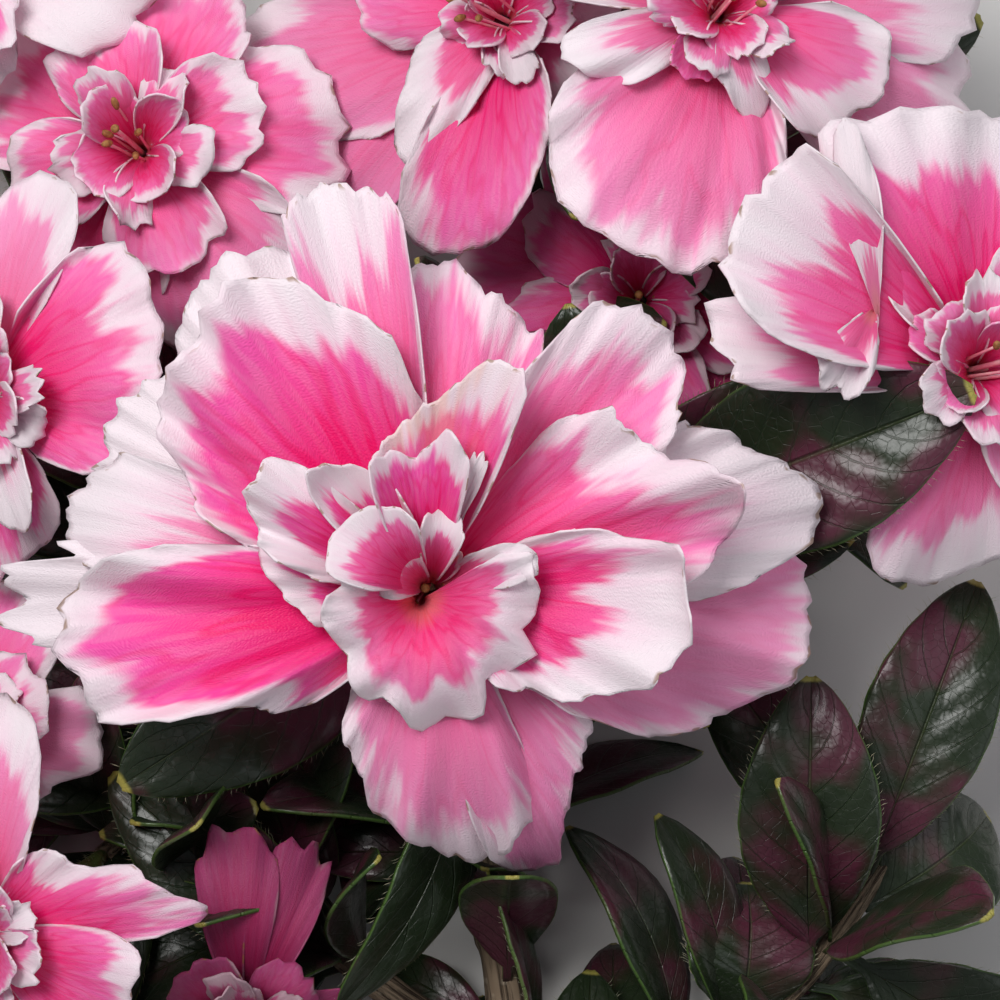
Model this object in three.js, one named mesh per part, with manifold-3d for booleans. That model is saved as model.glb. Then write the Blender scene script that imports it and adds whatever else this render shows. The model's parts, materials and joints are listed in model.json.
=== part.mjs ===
// A cut spray of a double-flowered azalea, laid down with its flowers facing up.
// A woody stem with a flat cut end lies along the ground and carries side shoots.
// Each shoot ends in a flower stalk and one large bloom, with leathery leaves between them.
// Millimetres, +Z up. The spray lies on z = 0, the cut end points to -Y, and the origin is
// under the middle of the whole spray.
import * as THREE from "three";
import { mergeGeometries, mergeVertices } from "three/addons/utils/BufferGeometryUtils.js";
import Module from "manifold-3d";

const wasm = await Module();
wasm.setup();
const { Vector3, MathUtils } = THREE;
const { degToRad, lerp, clamp } = MathUtils;

// The blooms lean toward the cut end, so places on the plant are given in a leaning frame:
// x across, y up the face of the spray and z out of it, from a point over the stem.
const FACE_LEAN = degToRad(20);
const FACE_HEIGHT = 60;

// Blooms
const TUBE_LONG = 13; // from the calyx to the throat
const TUBE_FOOT_WIDE = 4.4;
const TUBE_WAIST_WIDE = 6;
const TUBE_WAIST = 0.4; // share of the tube's length
const THROAT_WIDE = 11;
const THROAT_LIP = 1; // the tube is at its widest this far behind the throat
const THROAT_RISE = 2; // and fills the throat with a low cone
const PETAL_THICK = 0.9;
const PETAL_WIDEST = 0.62; // share of a petal's reach
const PETAL_SHOULDER = 0.55; // share of a petal's half width with a facet edge of its own
const VALLEY = 0.54; // how far a corolla reaches between two petals, as a share of their reach
const VALLEY_FALL = 0.2; // how fast that share falls away past a petal's sides, and its least
const INNER_SEAT = 2; // where the inner whorls start, over the outer one
const HEART_SEAT = 3;
const STALK_LONG = 8;
const STALK_WIDE = 1.9;
const CALYX_LONG = 3.4;
const CALYX_WIDE = 5.6;
const CALYX_SHOULDER = 0.4; // share of its length

// Wood
const STEM_CUT_WIDE = 6.4;
const STEM_TIP_WIDE = 3.2;
const BOUGH_WIDE = 3.8;
const BOUGH_TIP_WIDE = 2.8;
const SHOOT_WIDE = 3.2;
const SHOOT_TIP_WIDE = 2.2;
const SHOOT_TAPER = 0.8; // of the shoot without a bloom, whose foot is as wide as the others' tips
const SHOOT_BEND = 0.35; // share of a shoot where it bends up
const SHOOT_STRAIGHT = 0.3; // share of it that runs straight behind its bloom

// Leaves
const LEAF_THICK = 0.7;
const LEAF_STALK = 0.1; // share of a leaf's length that is its own short stalk
const LEAF_STALK_WIDE = 0.09; // share of the leaf's width
const LEAF_FULLNESS = 0.75; // under 1 for a blade with full sides
const LEAF_FOLD = 0.12; // how far a margin stands over the midrib, as a share of the width
const LEAF_CLEAR = 0.42; // from a leaf's foot to its carrier

const GAP = 0.3; // between pieces that touch
const GROUND_SIZE = 600;
const GROUND_DEEP = 60;

// Facets
const RIM_ROWS = 2;
const LEAF_ROWS = 4;
const ROUND_SIDES = 6;
const STEM_ROWS = 10;
const BOUGH_ROWS = 6;
const SHOOT_ROWS = 3;
const LEAST_TURN = 6; // degrees between two facet edges of a whorl
const SAME_POINT = 1e-3;

const COLOURS = {
  petal: { color: 0xf27fb0, roughness: 0.55, metalness: 0 },
  leaf: { color: 0x24402a, roughness: 0.32, metalness: 0 },
  stalk: { color: 0x7f9a52, roughness: 0.6, metalness: 0 },
  bark: { color: 0x6b5340, roughness: 0.85, metalness: 0 },
};

const ACROSS = new Vector3(1, 0, 0);
const UP_FACE = new Vector3(0, Math.cos(FACE_LEAN), Math.sin(FACE_LEAN));
const OUT_OF_FACE = new Vector3(0, -Math.sin(FACE_LEAN), Math.cos(FACE_LEAN));
const onFace = (x, y, z) => new Vector3(0, 0, FACE_HEIGHT)
  .addScaledVector(ACROSS, x).addScaledVector(UP_FACE, y).addScaledVector(OUT_OF_FACE, z);

// A petal: its direction in degrees as seen from over the face, its reach from the throat, its
// width, how far its tip stands out of the bloom's own plane, and how far its midrib arches.
const petal = (turn, reach, wide, lift, arch) => ({ turn, reach, wide, lift, arch });

// Petals that are alike, spread evenly around a bloom
const ring = (count, start, model) => Array.from({ length: count }, (_, i) => ({
  ...model,
  turn: start + (360 / count) * i,
}));

// A bloom: its throat in the leaning frame, how far and which way it tilts from the face, and its
// three whorls: the broad outer petals, the inner petals and the small ones at its heart
const bloom = (name, throat, tilt, toward, outer, inner, heart) => ({
  name, throat, tilt, toward, outer, inner, heart,
});

const BLOOMS = [
  bloom("centre", [-7, -8.8, 0], 4, -90, [
    petal(183, 43, 15, -4, 4),
    petal(162, 38.5, 19, -2, 6),
    petal(148, 37, 11, -8, 3),
    petal(124, 40, 20, -6, 5),
    petal(103, 41, 14, 2, 3),
    petal(83, 34, 17, -6, 4),
    petal(15, 40, 19, -8, 5),
    petal(-16, 38, 23, -12, 6),
    petal(-66, 33.5, 17, -16, 5),
    petal(-90, 28, 21, -10, 8),
  ], [
    petal(128, 36, 30, 8, 3),
    petal(48, 35.5, 20, 4, 4),
    petal(20, 34, 18, 8, 3),
    petal(-14, 27.5, 20, 6, 4),
    petal(-85, 14, 22, 3, 9),
    petal(192, 38, 22, 2, 7),
  ], [
    petal(147, 20, 8, 13, 2),
    petal(80, 19, 11, 14, 2),
    petal(190, 12, 6, 9, 1),
    petal(-10, 8, 6, 6, 1),
  ]),
  bloom("right", [50.1, 13.7, -18], 30, 12, [
    petal(94, 29, 21, 0, 5),
    petal(55, 30, 17, -2, 4),
    petal(18, 32, 20, -4, 4),
    petal(-38, 28, 18, -6, 4),
    petal(-102, 23, 19, -10, 4),
    petal(176, 26.5, 10, 1, 3),
  ], [
    petal(149, 27, 16, 7, 4),
    petal(50, 16, 10, 6, 3),
    petal(-10, 20, 13, 5, 3),
    petal(-60, 14, 10, 5, 3),
  ], ring(3, 40, petal(0, 7, 7, 8, 1))),
  bloom("left", [-54.9, 10.7, -22], 34, 176, [
    petal(75, 24, 16, -4, 4),
    petal(24, 21.5, 17, -3, 4),
    petal(-38, 20, 16, -5, 4),
    petal(-92, 24, 17, -5, 4),
    petal(215, 31, 20, -4, 5),
    petal(165, 33, 20, -4, 5),
    petal(120, 30, 19, -4, 5),
  ], [
    petal(96, 13, 8, 7, 3),
    petal(155, 22, 14, 6, 4),
    petal(220, 22, 14, 6, 4),
    petal(-62, 13, 7, 5, 3),
    petal(-5, 8, 6, 6, 2),
  ], ring(3, 60, petal(0, 7, 7, 8, 1))),
  bloom("top_right", [23.2, 51.4, -20], 28, 45, [
    petal(-101, 28, 25, -2, 5),
    petal(-20, 30, 18, -8, 4),
    petal(35, 32, 20, -4, 5),
    petal(88, 32, 20, -4, 5),
    petal(140, 24, 16, -3, 4),
  ], [
    petal(195, 16, 11, 5, 4),
    petal(-50, 17, 13, 4, 5),
    petal(-22, 22, 14, 2, 4),
    petal(60, 22, 14, 6, 4),
  ], ring(3, 20, petal(0, 7, 7, 8, 1))),
  bloom("top", [0.5, 52.5, -31], 32, 165, [
    petal(184, 30, 20, -2, 4),
    petal(222, 34, 20, -8, 4),
    petal(132, 30, 19, -4, 5),
    petal(86, 25, 16, -4, 5),
    petal(15, 10, 10, -1, 2),
    petal(-55, 13, 12, -2, 2),
  ], [
    petal(260, 26.5, 16, 6, 4),
    petal(234, 22, 9, 7, 4),
    petal(160, 17, 12, 6, 4),
    petal(100, 15, 10, 6, 4),
  ], ring(3, 30, petal(0, 6, 6, 8, 1))),
  bloom("low_left", [-54.3, -45.5, -15], 28, 210, [
    petal(10, 24.5, 10, 0, 4),
    petal(80, 24, 13, -3, 4),
    petal(150, 27, 18, -4, 4),
    petal(215, 27, 18, -4, 4),
    petal(-72, 22, 16, -4, 4),
  ], [
    petal(-10, 17.5, 12, 5, 3),
    petal(110, 14, 9, 6, 3),
    petal(185, 18, 12, 5, 3),
    petal(250, 17, 12, 5, 3),
  ], ring(3, 45, petal(0, 7, 7, 8, 1))),
  bloom("between", [-40.1, 39, -38], 12, 140, [
    petal(-58, 24, 18, -3, 4),
    petal(-118, 20, 16, -3, 4),
    petal(8, 23, 17, -3, 4),
    petal(80, 22, 17, -3, 4),
    petal(150, 22, 17, -3, 4),
  ], ring(4, 20, petal(0, 15, 11, 5, 3)), ring(3, 30, petal(0, 6, 6, 8, 1))),
  bloom("behind", [15.7, 22.4, -40], 6, 60, ring(5, 25, petal(0, 21, 16, -2, 4)),
    ring(4, 60, petal(0, 15, 10, 5, 3)), ring(3, 10, petal(0, 6, 6, 8, 1))),
  bloom("far_left", [-58.5, -25.5, -30], 30, 180, [
    petal(4, 15, 11, -3, 3),
    petal(70, 17, 12, -3, 4),
    petal(138, 24, 16, -3, 4),
    petal(200, 25, 16, -3, 4),
    petal(262, 16, 12, -3, 4),
  ], ring(4, 35, petal(0, 12, 9, 5, 3)), ring(3, 10, petal(0, 6, 6, 8, 1))),
  bloom("top_left", [-63.6, 64.7, -45], 28, 132, [
    petal(-21, 26.8, 15, -2, 4),
    petal(48, 27, 18, -3, 5),
    petal(110, 28, 20, -4, 5),
    petal(175, 28, 20, -4, 5),
    petal(-88, 22, 17, -3, 4),
  ], ring(4, 20, petal(0, 19, 12, 6, 4)), ring(3, 30, petal(0, 6, 6, 8, 1))),
  bloom("under_left", [-27, -56, -24], 30, -90, [
    petal(92, 22, 7, -6, 3),
    petal(68, 21, 7, -7, 3),
    petal(-15, 14, 11, -3, 3),
    petal(-80, 16, 12, -3, 3),
    petal(205, 15, 11, -3, 3),
  ], ring(3, 40, petal(0, 9, 8, 5, 3)), ring(3, 10, petal(0, 5, 5, 7, 1))),
];

const facing = ({ tilt, toward }) => OUT_OF_FACE.clone()
  .addScaledVector(ACROSS, Math.tan(degToRad(tilt)) * Math.cos(degToRad(toward)))
  .addScaledVector(UP_FACE, Math.tan(degToRad(tilt)) * Math.sin(degToRad(toward)))
  .normalize();

function solidOf(geometry) {
  const bare = new THREE.BufferGeometry().setAttribute("position", geometry.getAttribute("position"));
  bare.setIndex(geometry.index);
  const closed = mergeVertices(bare, SAME_POINT);
  const vertProperties = new Float32Array(closed.getAttribute("position").array);
  const triVerts = new Uint32Array(closed.index.array);
  const build = () => new wasm.Manifold(new wasm.Mesh({ numProp: 3, vertProperties, triVerts }));
  const first = build();
  if (first.volume() > 0) return first;
  for (let i = 0; i < triVerts.length; i += 3) {
    [triVerts[i], triVerts[i + 1]] = [triVerts[i + 1], triVerts[i]];
  }
  return build();
}

function geometryOf(solid) {
  const mesh = solid.getMesh();
  return new THREE.BufferGeometry()
    .setAttribute("position", new THREE.BufferAttribute(new Float32Array(mesh.vertProperties), 3))
    .setIndex(new THREE.BufferAttribute(new Uint32Array(mesh.triVerts), 1));
}

const largest = (solid) => solid.decompose().sort((a, b) => b.volume() - a.volume())[0];

const moved = (geometry, place) => {
  const position = geometry.getAttribute("position");
  for (let i = 0; i < position.count; i++) {
    const point = place(new Vector3().fromBufferAttribute(position, i), i);
    position.setXYZ(i, point.x, point.y, point.z);
  }
  return geometry;
};

// Half the angle that a petal takes up, in degrees
const halfTurn = (p) => MathUtils.radToDeg(Math.atan2(p.wide / 2, PETAL_WIDEST * p.reach));

// How far a whorl reaches in one direction, and the petal that it belongs to there
function edgeAt(whorl, turn) {
  const reaches = whorl.map((p) => {
    const away = Math.abs(MathUtils.euclideanModulo(turn - p.turn + 180, 360) - 180);
    const share = away / halfTurn(p);
    const edge = share < 1
      ? 1 - (1 - VALLEY) * share ** 3
      : clamp(VALLEY - VALLEY_FALL * (share - 1), VALLEY_FALL, VALLEY);
    return { p, reach: p.reach * edge };
  });
  return reaches.reduce((a, b) => (b.reach > a.reach ? b : a));
}

// One whorl as a thin ruffled dish. Its two faces meet at the rim and have the same facets, so
// that they never cross.
function whorlSolid(whorl, { throat, tilt, toward }, seat, grow) {
  const turns = whorl.flatMap((p) => {
    const half = halfTurn(p);
    const shoulder = PETAL_SHOULDER * half;
    return [p.turn - half, p.turn - shoulder, p.turn, p.turn + shoulder];
  }).map((t) => MathUtils.euclideanModulo(t, 360)).sort((a, b) => a - b);
  const spread = turns.filter((t, i) => i === 0 || t - turns[i - 1] > LEAST_TURN);
  const rows = Array.from({ length: RIM_ROWS + 1 }, (_, i) => i / RIM_ROWS);
  const slope = Math.tan(degToRad(tilt));
  const face = (up) => {
    const lathe = new THREE.LatheGeometry(rows.map((row) => new THREE.Vector2(row, 0)), spread.length);
    return moved(lathe, (_, i) => {
      const turn = spread[Math.floor(i / rows.length) % spread.length];
      const share = rows[i % rows.length];
      const { p, reach } = edgeAt(whorl, turn);
      const far = (reach + grow) * share;
      const along = far / p.reach;
      const plane = -far * slope * Math.cos(degToRad(turn - toward));
      const height = seat + (p.lift - seat) * along * along + 4 * p.arch * along * (1 - along);
      const side = share < 1 ? up * (PETAL_THICK / 2 + 2 * grow) : 0;
      return onFace(...throat)
        .addScaledVector(ACROSS, far * Math.cos(degToRad(turn)))
        .addScaledVector(UP_FACE, far * Math.sin(degToRad(turn)))
        .addScaledVector(OUT_OF_FACE, plane + height + side);
    });
  };
  const upper = face(1);
  const lower = face(-1);
  lower.index.array.reverse();
  return solidOf(mergeGeometries([upper, lower]));
}

// A turned shape, given as radius and height from its foot, stood on a point along a direction
function turnedSolid(profile, foot, direction) {
  const lathe = new THREE.LatheGeometry(profile.map(([r, h]) => new THREE.Vector2(r, h)), ROUND_SIDES);
  const upright = new THREE.Quaternion().setFromUnitVectors(new Vector3(0, 1, 0), direction);
  lathe.applyQuaternion(upright).translate(foot.x, foot.y, foot.z);
  return solidOf(lathe);
}

function tubeSolid(b, grow) {
  const out = facing(b);
  const foot = onFace(...b.throat).addScaledVector(out, -TUBE_LONG - grow);
  return turnedSolid([
    [0, 0],
    [TUBE_FOOT_WIDE / 2 + grow, 0],
    [TUBE_WAIST_WIDE / 2 + grow, TUBE_WAIST * TUBE_LONG],
    [THROAT_WIDE / 2 + grow, TUBE_LONG - THROAT_LIP],
    [0, TUBE_LONG + THROAT_RISE + grow],
  ], foot, out);
}

function bloomSolid(b, grow = 0) {
  return wasm.Manifold.union([
    tubeSolid(b, grow),
    whorlSolid(b.outer, b, 0, grow),
    whorlSolid(b.inner, b, INNER_SEAT, grow),
    whorlSolid(b.heart, b, HEART_SEAT, grow),
  ]);
}

// The stalk of a bloom, with the calyx at its top
function stalkSolid(b, grow = 0) {
  const out = facing(b);
  const foot = onFace(...b.throat).addScaledVector(out, -TUBE_LONG - GAP - CALYX_LONG - STALK_LONG);
  const top = STALK_LONG + CALYX_LONG;
  return turnedSolid([
    [0, 0],
    [STALK_WIDE / 2 + grow, 0],
    [STALK_WIDE / 2 + grow, STALK_LONG],
    [CALYX_WIDE / 2 + grow, STALK_LONG + CALYX_SHOULDER * CALYX_LONG],
    [CALYX_WIDE / 2 + grow, top],
    [0, top],
  ], foot, out);
}

const shootEnd = (b) => onFace(...b.throat)
  .addScaledVector(facing(b), -TUBE_LONG - CALYX_LONG - STALK_LONG - 2 * GAP);

// A limb: a tapering rod along a curve, square cut at both ends
const limb = (name, points, wide, tipWide, rows) => ({
  name, curve: new THREE.CatmullRomCurve3(points), wide, tipWide, rows,
});

function limbSolid({ curve, wide, tipWide, rows }, grow = 0) {
  const frames = curve.computeFrenetFrames(rows, false);
  const rod = new THREE.CylinderGeometry(1, 1, rows, ROUND_SIDES, rows);
  return solidOf(moved(rod, (at) => {
    const row = Math.round(at.y + rows / 2);
    const radius = lerp(wide, tipWide, row / rows) / 2 + grow;
    return curve.getPointAt(row / rows)
      .addScaledVector(frames.normals[row], at.x * radius)
      .addScaledVector(frames.binormals[row], at.z * radius);
  }));
}

const STEM = limb("stem", [
  new Vector3(6, -122, 2.7),
  new Vector3(6, -96, 2.7),
  new Vector3(4, -62, 4),
  new Vector3(-1, -26, 8),
  new Vector3(-4, 6, 11),
  new Vector3(-1, 32, 15),
  new Vector3(6, 50, 21),
], STEM_CUT_WIDE, STEM_TIP_WIDE, STEM_ROWS);

// A side limb starts inside the limb that carries it, at a share of that limb's length
const sideLimb = (name, parent, share, points, wide, tipWide, rows) => ({
  ...limb(name, [parent.curve.getPointAt(share), ...points], wide, tipWide, rows),
  parent,
});

const BOUGH_LEFT = sideLimb("bough_left", STEM, 0.42, [
  new Vector3(-16, -36, 8),
  new Vector3(-32, -20, 10),
  new Vector3(-39, 4, 12),
  new Vector3(-38, 28, 14),
], BOUGH_WIDE, BOUGH_TIP_WIDE, BOUGH_ROWS);
const BOUGH_RIGHT = sideLimb("bough_right", STEM, 0.34, [
  new Vector3(18, -50, 9),
  new Vector3(32, -40, 15),
  new Vector3(42, -27, 19),
], SHOOT_WIDE, SHOOT_TIP_WIDE, BOUGH_ROWS);

const shoot = (name, parent, share, rise) => {
  const b = BLOOMS.find((each) => each.name === name);
  const start = parent.curve.getPointAt(share);
  const end = shootEnd(b);
  const span = start.distanceTo(end);
  return sideLimb(`shoot_${name}`, parent, share, [
    start.clone().lerp(end, SHOOT_BEND).add(new Vector3(0, 0, rise)),
    end.clone().addScaledVector(facing(b), -SHOOT_STRAIGHT * span),
    end,
  ], SHOOT_WIDE, SHOOT_TIP_WIDE, SHOOT_ROWS);
};

const SHOOTS = [
  shoot("centre", STEM, 0.62, 3),
  shoot("right", STEM, 0.74, -2),
  shoot("behind", STEM, 0.84, 0),
  shoot("top", STEM, 0.92, 0),
  shoot("top_right", STEM, 0.985, 0),
  shoot("left", BOUGH_LEFT, 0.78, 0),
  shoot("between", BOUGH_LEFT, 0.9, 0),
  shoot("top_left", BOUGH_LEFT, 0.985, 0),
  shoot("low_left", BOUGH_LEFT, 0.36, -1),
  shoot("far_left", BOUGH_LEFT, 0.55, 0),
  shoot("under_left", BOUGH_LEFT, 0.12, 0),
];

// A shoot without a bloom, which holds the leaves beside the middle bloom up to the light
const SHOOT_RIGHT = SHOOTS.find((each) => each.name === "shoot_right");
const SHOOT_LEAFY = sideLimb("shoot_leafy", SHOOT_RIGHT, 0.3, [
  onFace(11, 0, -39),
  onFace(13, -3, -21),
], SHOOT_TIP_WIDE, SHOOT_TIP_WIDE * SHOOT_TAPER, SHOOT_ROWS);
const LIMBS = [STEM, BOUGH_LEFT, BOUGH_RIGHT, ...SHOOTS, SHOOT_LEAFY];

// A leaf: the limb that carries it and where along it, its tip, its width, how far its midrib
// arches, and how it is rolled about that midrib, in degrees. Some leaves rest on the ground.
const leaf = (on, share, tip, wide, arch, roll) => ({ on, share, tip, wide, arch, roll });
const onGround = (x, y) => new Vector3(x, y, 0);

const LEAVES = [
  leaf("shoot_leafy", 0.95, onFace(48.3, 11.1, -8), 19, 2, 0),
  leaf("shoot_leafy", 0.75, onFace(27.2, 12.3, -17), 10, 2, 10),
  leaf("shoot_centre", 0.75, onFace(-39.3, -29.7, -14), 17, 3, -10),
  leaf("shoot_low_left", 0.8, onFace(-26.3, -32.7, -22), 13, 3, 0),
  leaf("bough_left", 0.25, onFace(-42, -30, -28), 13, 5, 0),
  leaf("shoot_centre", 0.5, onFace(-17, -54, -22), 12, 7, -50),
  leaf("stem", 0.38, onFace(-1.1, -39.6, -25), 10, 2, 80),
  leaf("bough_right", 0.75, onFace(33, -19, -20), 15, 3, 0),
  leaf("bough_right", 0.95, onFace(52, -9, -30), 14, 3, 0),
  leaf("bough_right", 0.9, onFace(54, -35, -36), 15, 3, 0),
  leaf("bough_right", 0.55, onFace(27, -42, -30), 14, 4, 10),
  leaf("bough_right", 0.4, onFace(40, -54, -44), 15, 3, 0),
  leaf("stem", 0.3, onFace(10, -52, -34), 13, 4, 0),
  leaf("shoot_right", 0.15, onFace(38, -4, -27), 13, 3, 0),
  leaf("shoot_top_left", 0.5, onFace(-58, 46, -52), 14, 3, 0),
  leaf("shoot_top_right", 0.5, onFace(55, 55, -48), 15, 3, 0),
  leaf("shoot_top", 0.3, new Vector3(-8, 96, 16), 15, 4, 0),
  leaf("shoot_top_right", 0.6, new Vector3(38, 88, 16), 15, 4, 0),
  leaf("bough_right", 0.8, onGround(66, -50), 15, 5, 0),
  leaf("shoot_low_left", 0.5, onGround(-62, -56), 15, 4, 0),
  leaf("bough_left", 0.95, onGround(-70, 42), 15, 4, 0),
  leaf("shoot_right", 0.35, onGround(46, 36), 15, 5, 0),
  leaf("bough_left", 0.7, onGround(-76, 6), 15, 4, 0),
];

// The width of a leaf at a share of its length, as a share of its widest
function leafWidth(share) {
  const along = clamp((share - LEAF_STALK) / (1 - LEAF_STALK), 0, 1);
  return lerp(LEAF_STALK_WIDE, 1, Math.sin(Math.PI * along) ** LEAF_FULLNESS);
}

function leafSolid({ on, share, tip, wide, arch, roll }, grow = 0) {
  const carrier = LIMBS.find((each) => each.name === on);
  const axis = carrier.curve.getPointAt(share);
  const tangent = carrier.curve.getTangentAt(share);
  const away = tip.clone().sub(axis);
  away.addScaledVector(tangent, -away.dot(tangent)).normalize();
  const radius = lerp(carrier.wide, carrier.tipWide, share) / 2;
  const root = axis.addScaledVector(away, radius + LEAF_CLEAR);
  const line = tip.clone().sub(root);
  const along = line.clone().normalize();
  const side = new Vector3().crossVectors(OUT_OF_FACE, along).normalize()
    .applyAxisAngle(along, degToRad(roll));
  const face = new Vector3().crossVectors(along, side);
  const blade = new THREE.BoxGeometry(2, 1, 1, 2, LEAF_ROWS, 1);
  return solidOf(moved(blade, (at) => {
    const s = at.y + 0.5;
    const half = (wide / 2) * leafWidth(s) + grow;
    const fold = LEAF_FOLD * wide * Math.abs(at.x) * leafWidth(s);
    return root.clone().addScaledVector(line, s)
      .addScaledVector(side, at.x * half)
      .addScaledVector(face, 4 * arch * s * (1 - s) + fold + at.z * (LEAF_THICK + 2 * grow));
  }));
}

// The surface that the spray lies on trims what would dip below it
const GROUND = solidOf(
  new THREE.BoxGeometry(GROUND_SIZE, GROUND_SIZE, GROUND_DEEP).translate(0, 0, -GROUND_DEEP / 2),
);

const pieces = [
  ...LIMBS.map((each) => ({ name: each.name, finish: "bark", make: (grow) => limbSolid(each, grow) })),
  ...BLOOMS.map((each) => ({
    name: `stalk_${each.name}`, finish: "stalk", make: (grow) => stalkSolid(each, grow),
  })),
  ...BLOOMS.map((each) => ({
    name: `bloom_${each.name}`, finish: "petal", make: (grow) => bloomSolid(each, grow),
  })),
  ...LEAVES.map((each, i) => ({
    name: `leaf_${i + 1}`, finish: "leaf", make: (grow) => leafSolid(each, grow),
  })),
];

// Each piece in turn gives way to the ones before it where they would meet, and keeps clear of them
const TOUCH = 0.004; // cubic millimetres that count as meeting
const placed = [];
for (const { name, finish, make } of pieces) {
  let solid = make(0).subtract(GROUND);
  for (const other of placed) {
    if (solid.intersect(other.clearance).volume() > TOUCH) solid = solid.subtract(other.clearance);
  }
  solid = largest(solid);
  placed.push({ name, finish, solid, clearance: make(GAP).add(solid) });
}

const spray = new THREE.Group();
spray.name = "azalea_spray";
for (const { name, finish, solid } of placed) {
  const mesh = new THREE.Mesh(geometryOf(solid), new THREE.MeshStandardMaterial(COLOURS[finish]));
  mesh.name = name;
  spray.add(mesh);
}
const middle = new THREE.Box3().setFromObject(spray).getCenter(new Vector3());
spray.position.set(-middle.x, -middle.y, 0);

export default spray;
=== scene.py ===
"""A cut spray of a double-flowered azalea: petals, stamens, glossy leaves and barked wood."""
import json
import math
from types import SimpleNamespace

import bpy
import numpy as np
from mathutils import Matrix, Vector


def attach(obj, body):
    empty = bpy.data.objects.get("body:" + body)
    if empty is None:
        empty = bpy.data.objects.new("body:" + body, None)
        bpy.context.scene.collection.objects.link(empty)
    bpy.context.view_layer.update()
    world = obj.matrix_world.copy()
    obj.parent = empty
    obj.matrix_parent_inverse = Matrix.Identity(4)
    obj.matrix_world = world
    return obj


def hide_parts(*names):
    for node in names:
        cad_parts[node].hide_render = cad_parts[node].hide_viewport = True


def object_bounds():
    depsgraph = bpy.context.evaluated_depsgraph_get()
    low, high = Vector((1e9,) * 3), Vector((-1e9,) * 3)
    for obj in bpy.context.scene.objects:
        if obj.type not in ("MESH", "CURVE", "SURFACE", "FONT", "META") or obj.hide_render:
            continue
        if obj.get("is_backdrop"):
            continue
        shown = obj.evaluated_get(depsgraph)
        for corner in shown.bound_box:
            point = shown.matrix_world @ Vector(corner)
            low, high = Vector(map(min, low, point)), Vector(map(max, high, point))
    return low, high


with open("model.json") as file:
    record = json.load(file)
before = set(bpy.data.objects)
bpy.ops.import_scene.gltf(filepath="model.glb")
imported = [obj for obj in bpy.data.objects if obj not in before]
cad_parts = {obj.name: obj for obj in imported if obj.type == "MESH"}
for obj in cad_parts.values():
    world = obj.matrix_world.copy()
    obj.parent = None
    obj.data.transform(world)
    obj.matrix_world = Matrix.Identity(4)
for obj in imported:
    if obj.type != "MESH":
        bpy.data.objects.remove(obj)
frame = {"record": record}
CAD_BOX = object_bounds()

bl_info = {
    "name": "Azalea Spray",
    "version": (1, 0, 0),
    "blender": (4, 5, 0),
    "location": "View3D > Sidebar > Azalea",
    "description": "Builds a cut flowering spray of a double azalea, lying with its blooms up",
    "category": "Object",
}

MM = 0.001
SEED = 11
BODY = "root"

# The plant's plan is in millimetres, from a point on the ground under the middle of its face.
# The blooms lean toward the cut end, so their places are given across the face of the spray,
# up it and out of it. SHIFT moves the plan to where the frame has the cut end.
FACE_LEAN = math.radians(20)
FACE_HEIGHT = 60
FACE = np.array([
    [1, 0, 0],
    [0, math.cos(FACE_LEAN), math.sin(FACE_LEAN)],
    [0, -math.sin(FACE_LEAN), math.cos(FACE_LEAN)],
])
CUT_MIDDLE = np.array([6, -122, 2.7])
CUT_MOUNT = next(m for m in frame["record"]["mounts"] if m["name"] == "cut_end")
SHIFT = np.array(CUT_MOUNT["pos_m"]) / MM - CUT_MIDDLE

# Blooms: the tube behind the petals, the throat, the stalk and the calyx, and the gap that
# the parts keep from one another.
TUBE_LONG = 13
TUBE_RADII = (2.1, 2.5, 3.2, 4.4, 6.2)
THROAT_RADIUS = 6
THROAT_DEEP = 7
STALK_LONG = 8
STALK_WIDE = 1.9
CALYX_LONG = 3.4
CALYX_WIDE = 5.6
GAP = 0.3

# Petals: the share of its angle that one fills, where it starts, how full its plain outline is,
# the strength of colour away from the central bloom, the points across and along one, and a
# roll that lies past every tip, for a petal that stays flat.
PETAL_SIDE = 0.985
PETAL_ROOT = 0.5
PETAL_FULL = 2.8
OUTER_DEPTH = 0.8
BIG_PETAL = 12
FINE_STEPS = (66, 36)
BIG_STEPS = (38, 24)
SMALL_STEPS = (28, 17)
NO_ROLL = ((0, 60, 3, 1),)

# Stamens
STAMENS = 5
STAMEN_FOOT = 8
STAMEN_HIGH = 15
STAMEN_SHORT = 8
PISTIL_MORE = 2
FILAMENT_RADIUS = 0.24
PISTIL_RADIUS = 0.34
FILAMENT_TAPER = 0.1

# Wood
STEM_CUT_WIDE = 6.4
STEM_TIP_WIDE = 3.2
BOUGH_WIDE = 3.8
BOUGH_TIP_WIDE = 2.8
SHOOT_WIDE = 3.2
SHOOT_TIP_WIDE = 2.2
SHOOT_TAPER = 0.8
SHOOT_BEND = 0.35
SHOOT_STRAIGHT = 0.3
BARK_DEPTH = 0.97
BARK_STEP = 0.8
SCAR_SPACE = 7
SCAR_LONG = 1.1

# Leaves: the shares of a leaf that its stalk, fold and quilting take up, its side veins, and
# how it keeps off the floor.
LEAF_STALK = 0.1
LEAF_STALK_WIDE = 0.09
LEAF_FULLNESS = 0.75
LEAF_FOLD = 0.12
LEAF_QUILT = 0.006
LEAF_POINT = 0.97
VEIN_PAIRS = 8.5
VEIN_SWEEP = 2.0
VEIN_CURVE = 1.25
BLADE_STEPS = (27, 56)
SMALL_BLADE_STEPS = (9, 18)
BOUGH_LEAF_SPACE = 3
FLOOR_CLEAR = 0.35
LAID_FROM = 2.5

# Hairs
HAIR_RADIUS = 0.035
STALK_HAIRS = 110
SHOOT_HAIRS = 130
SHOOT_HAIR_SHARE = 0.8

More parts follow.
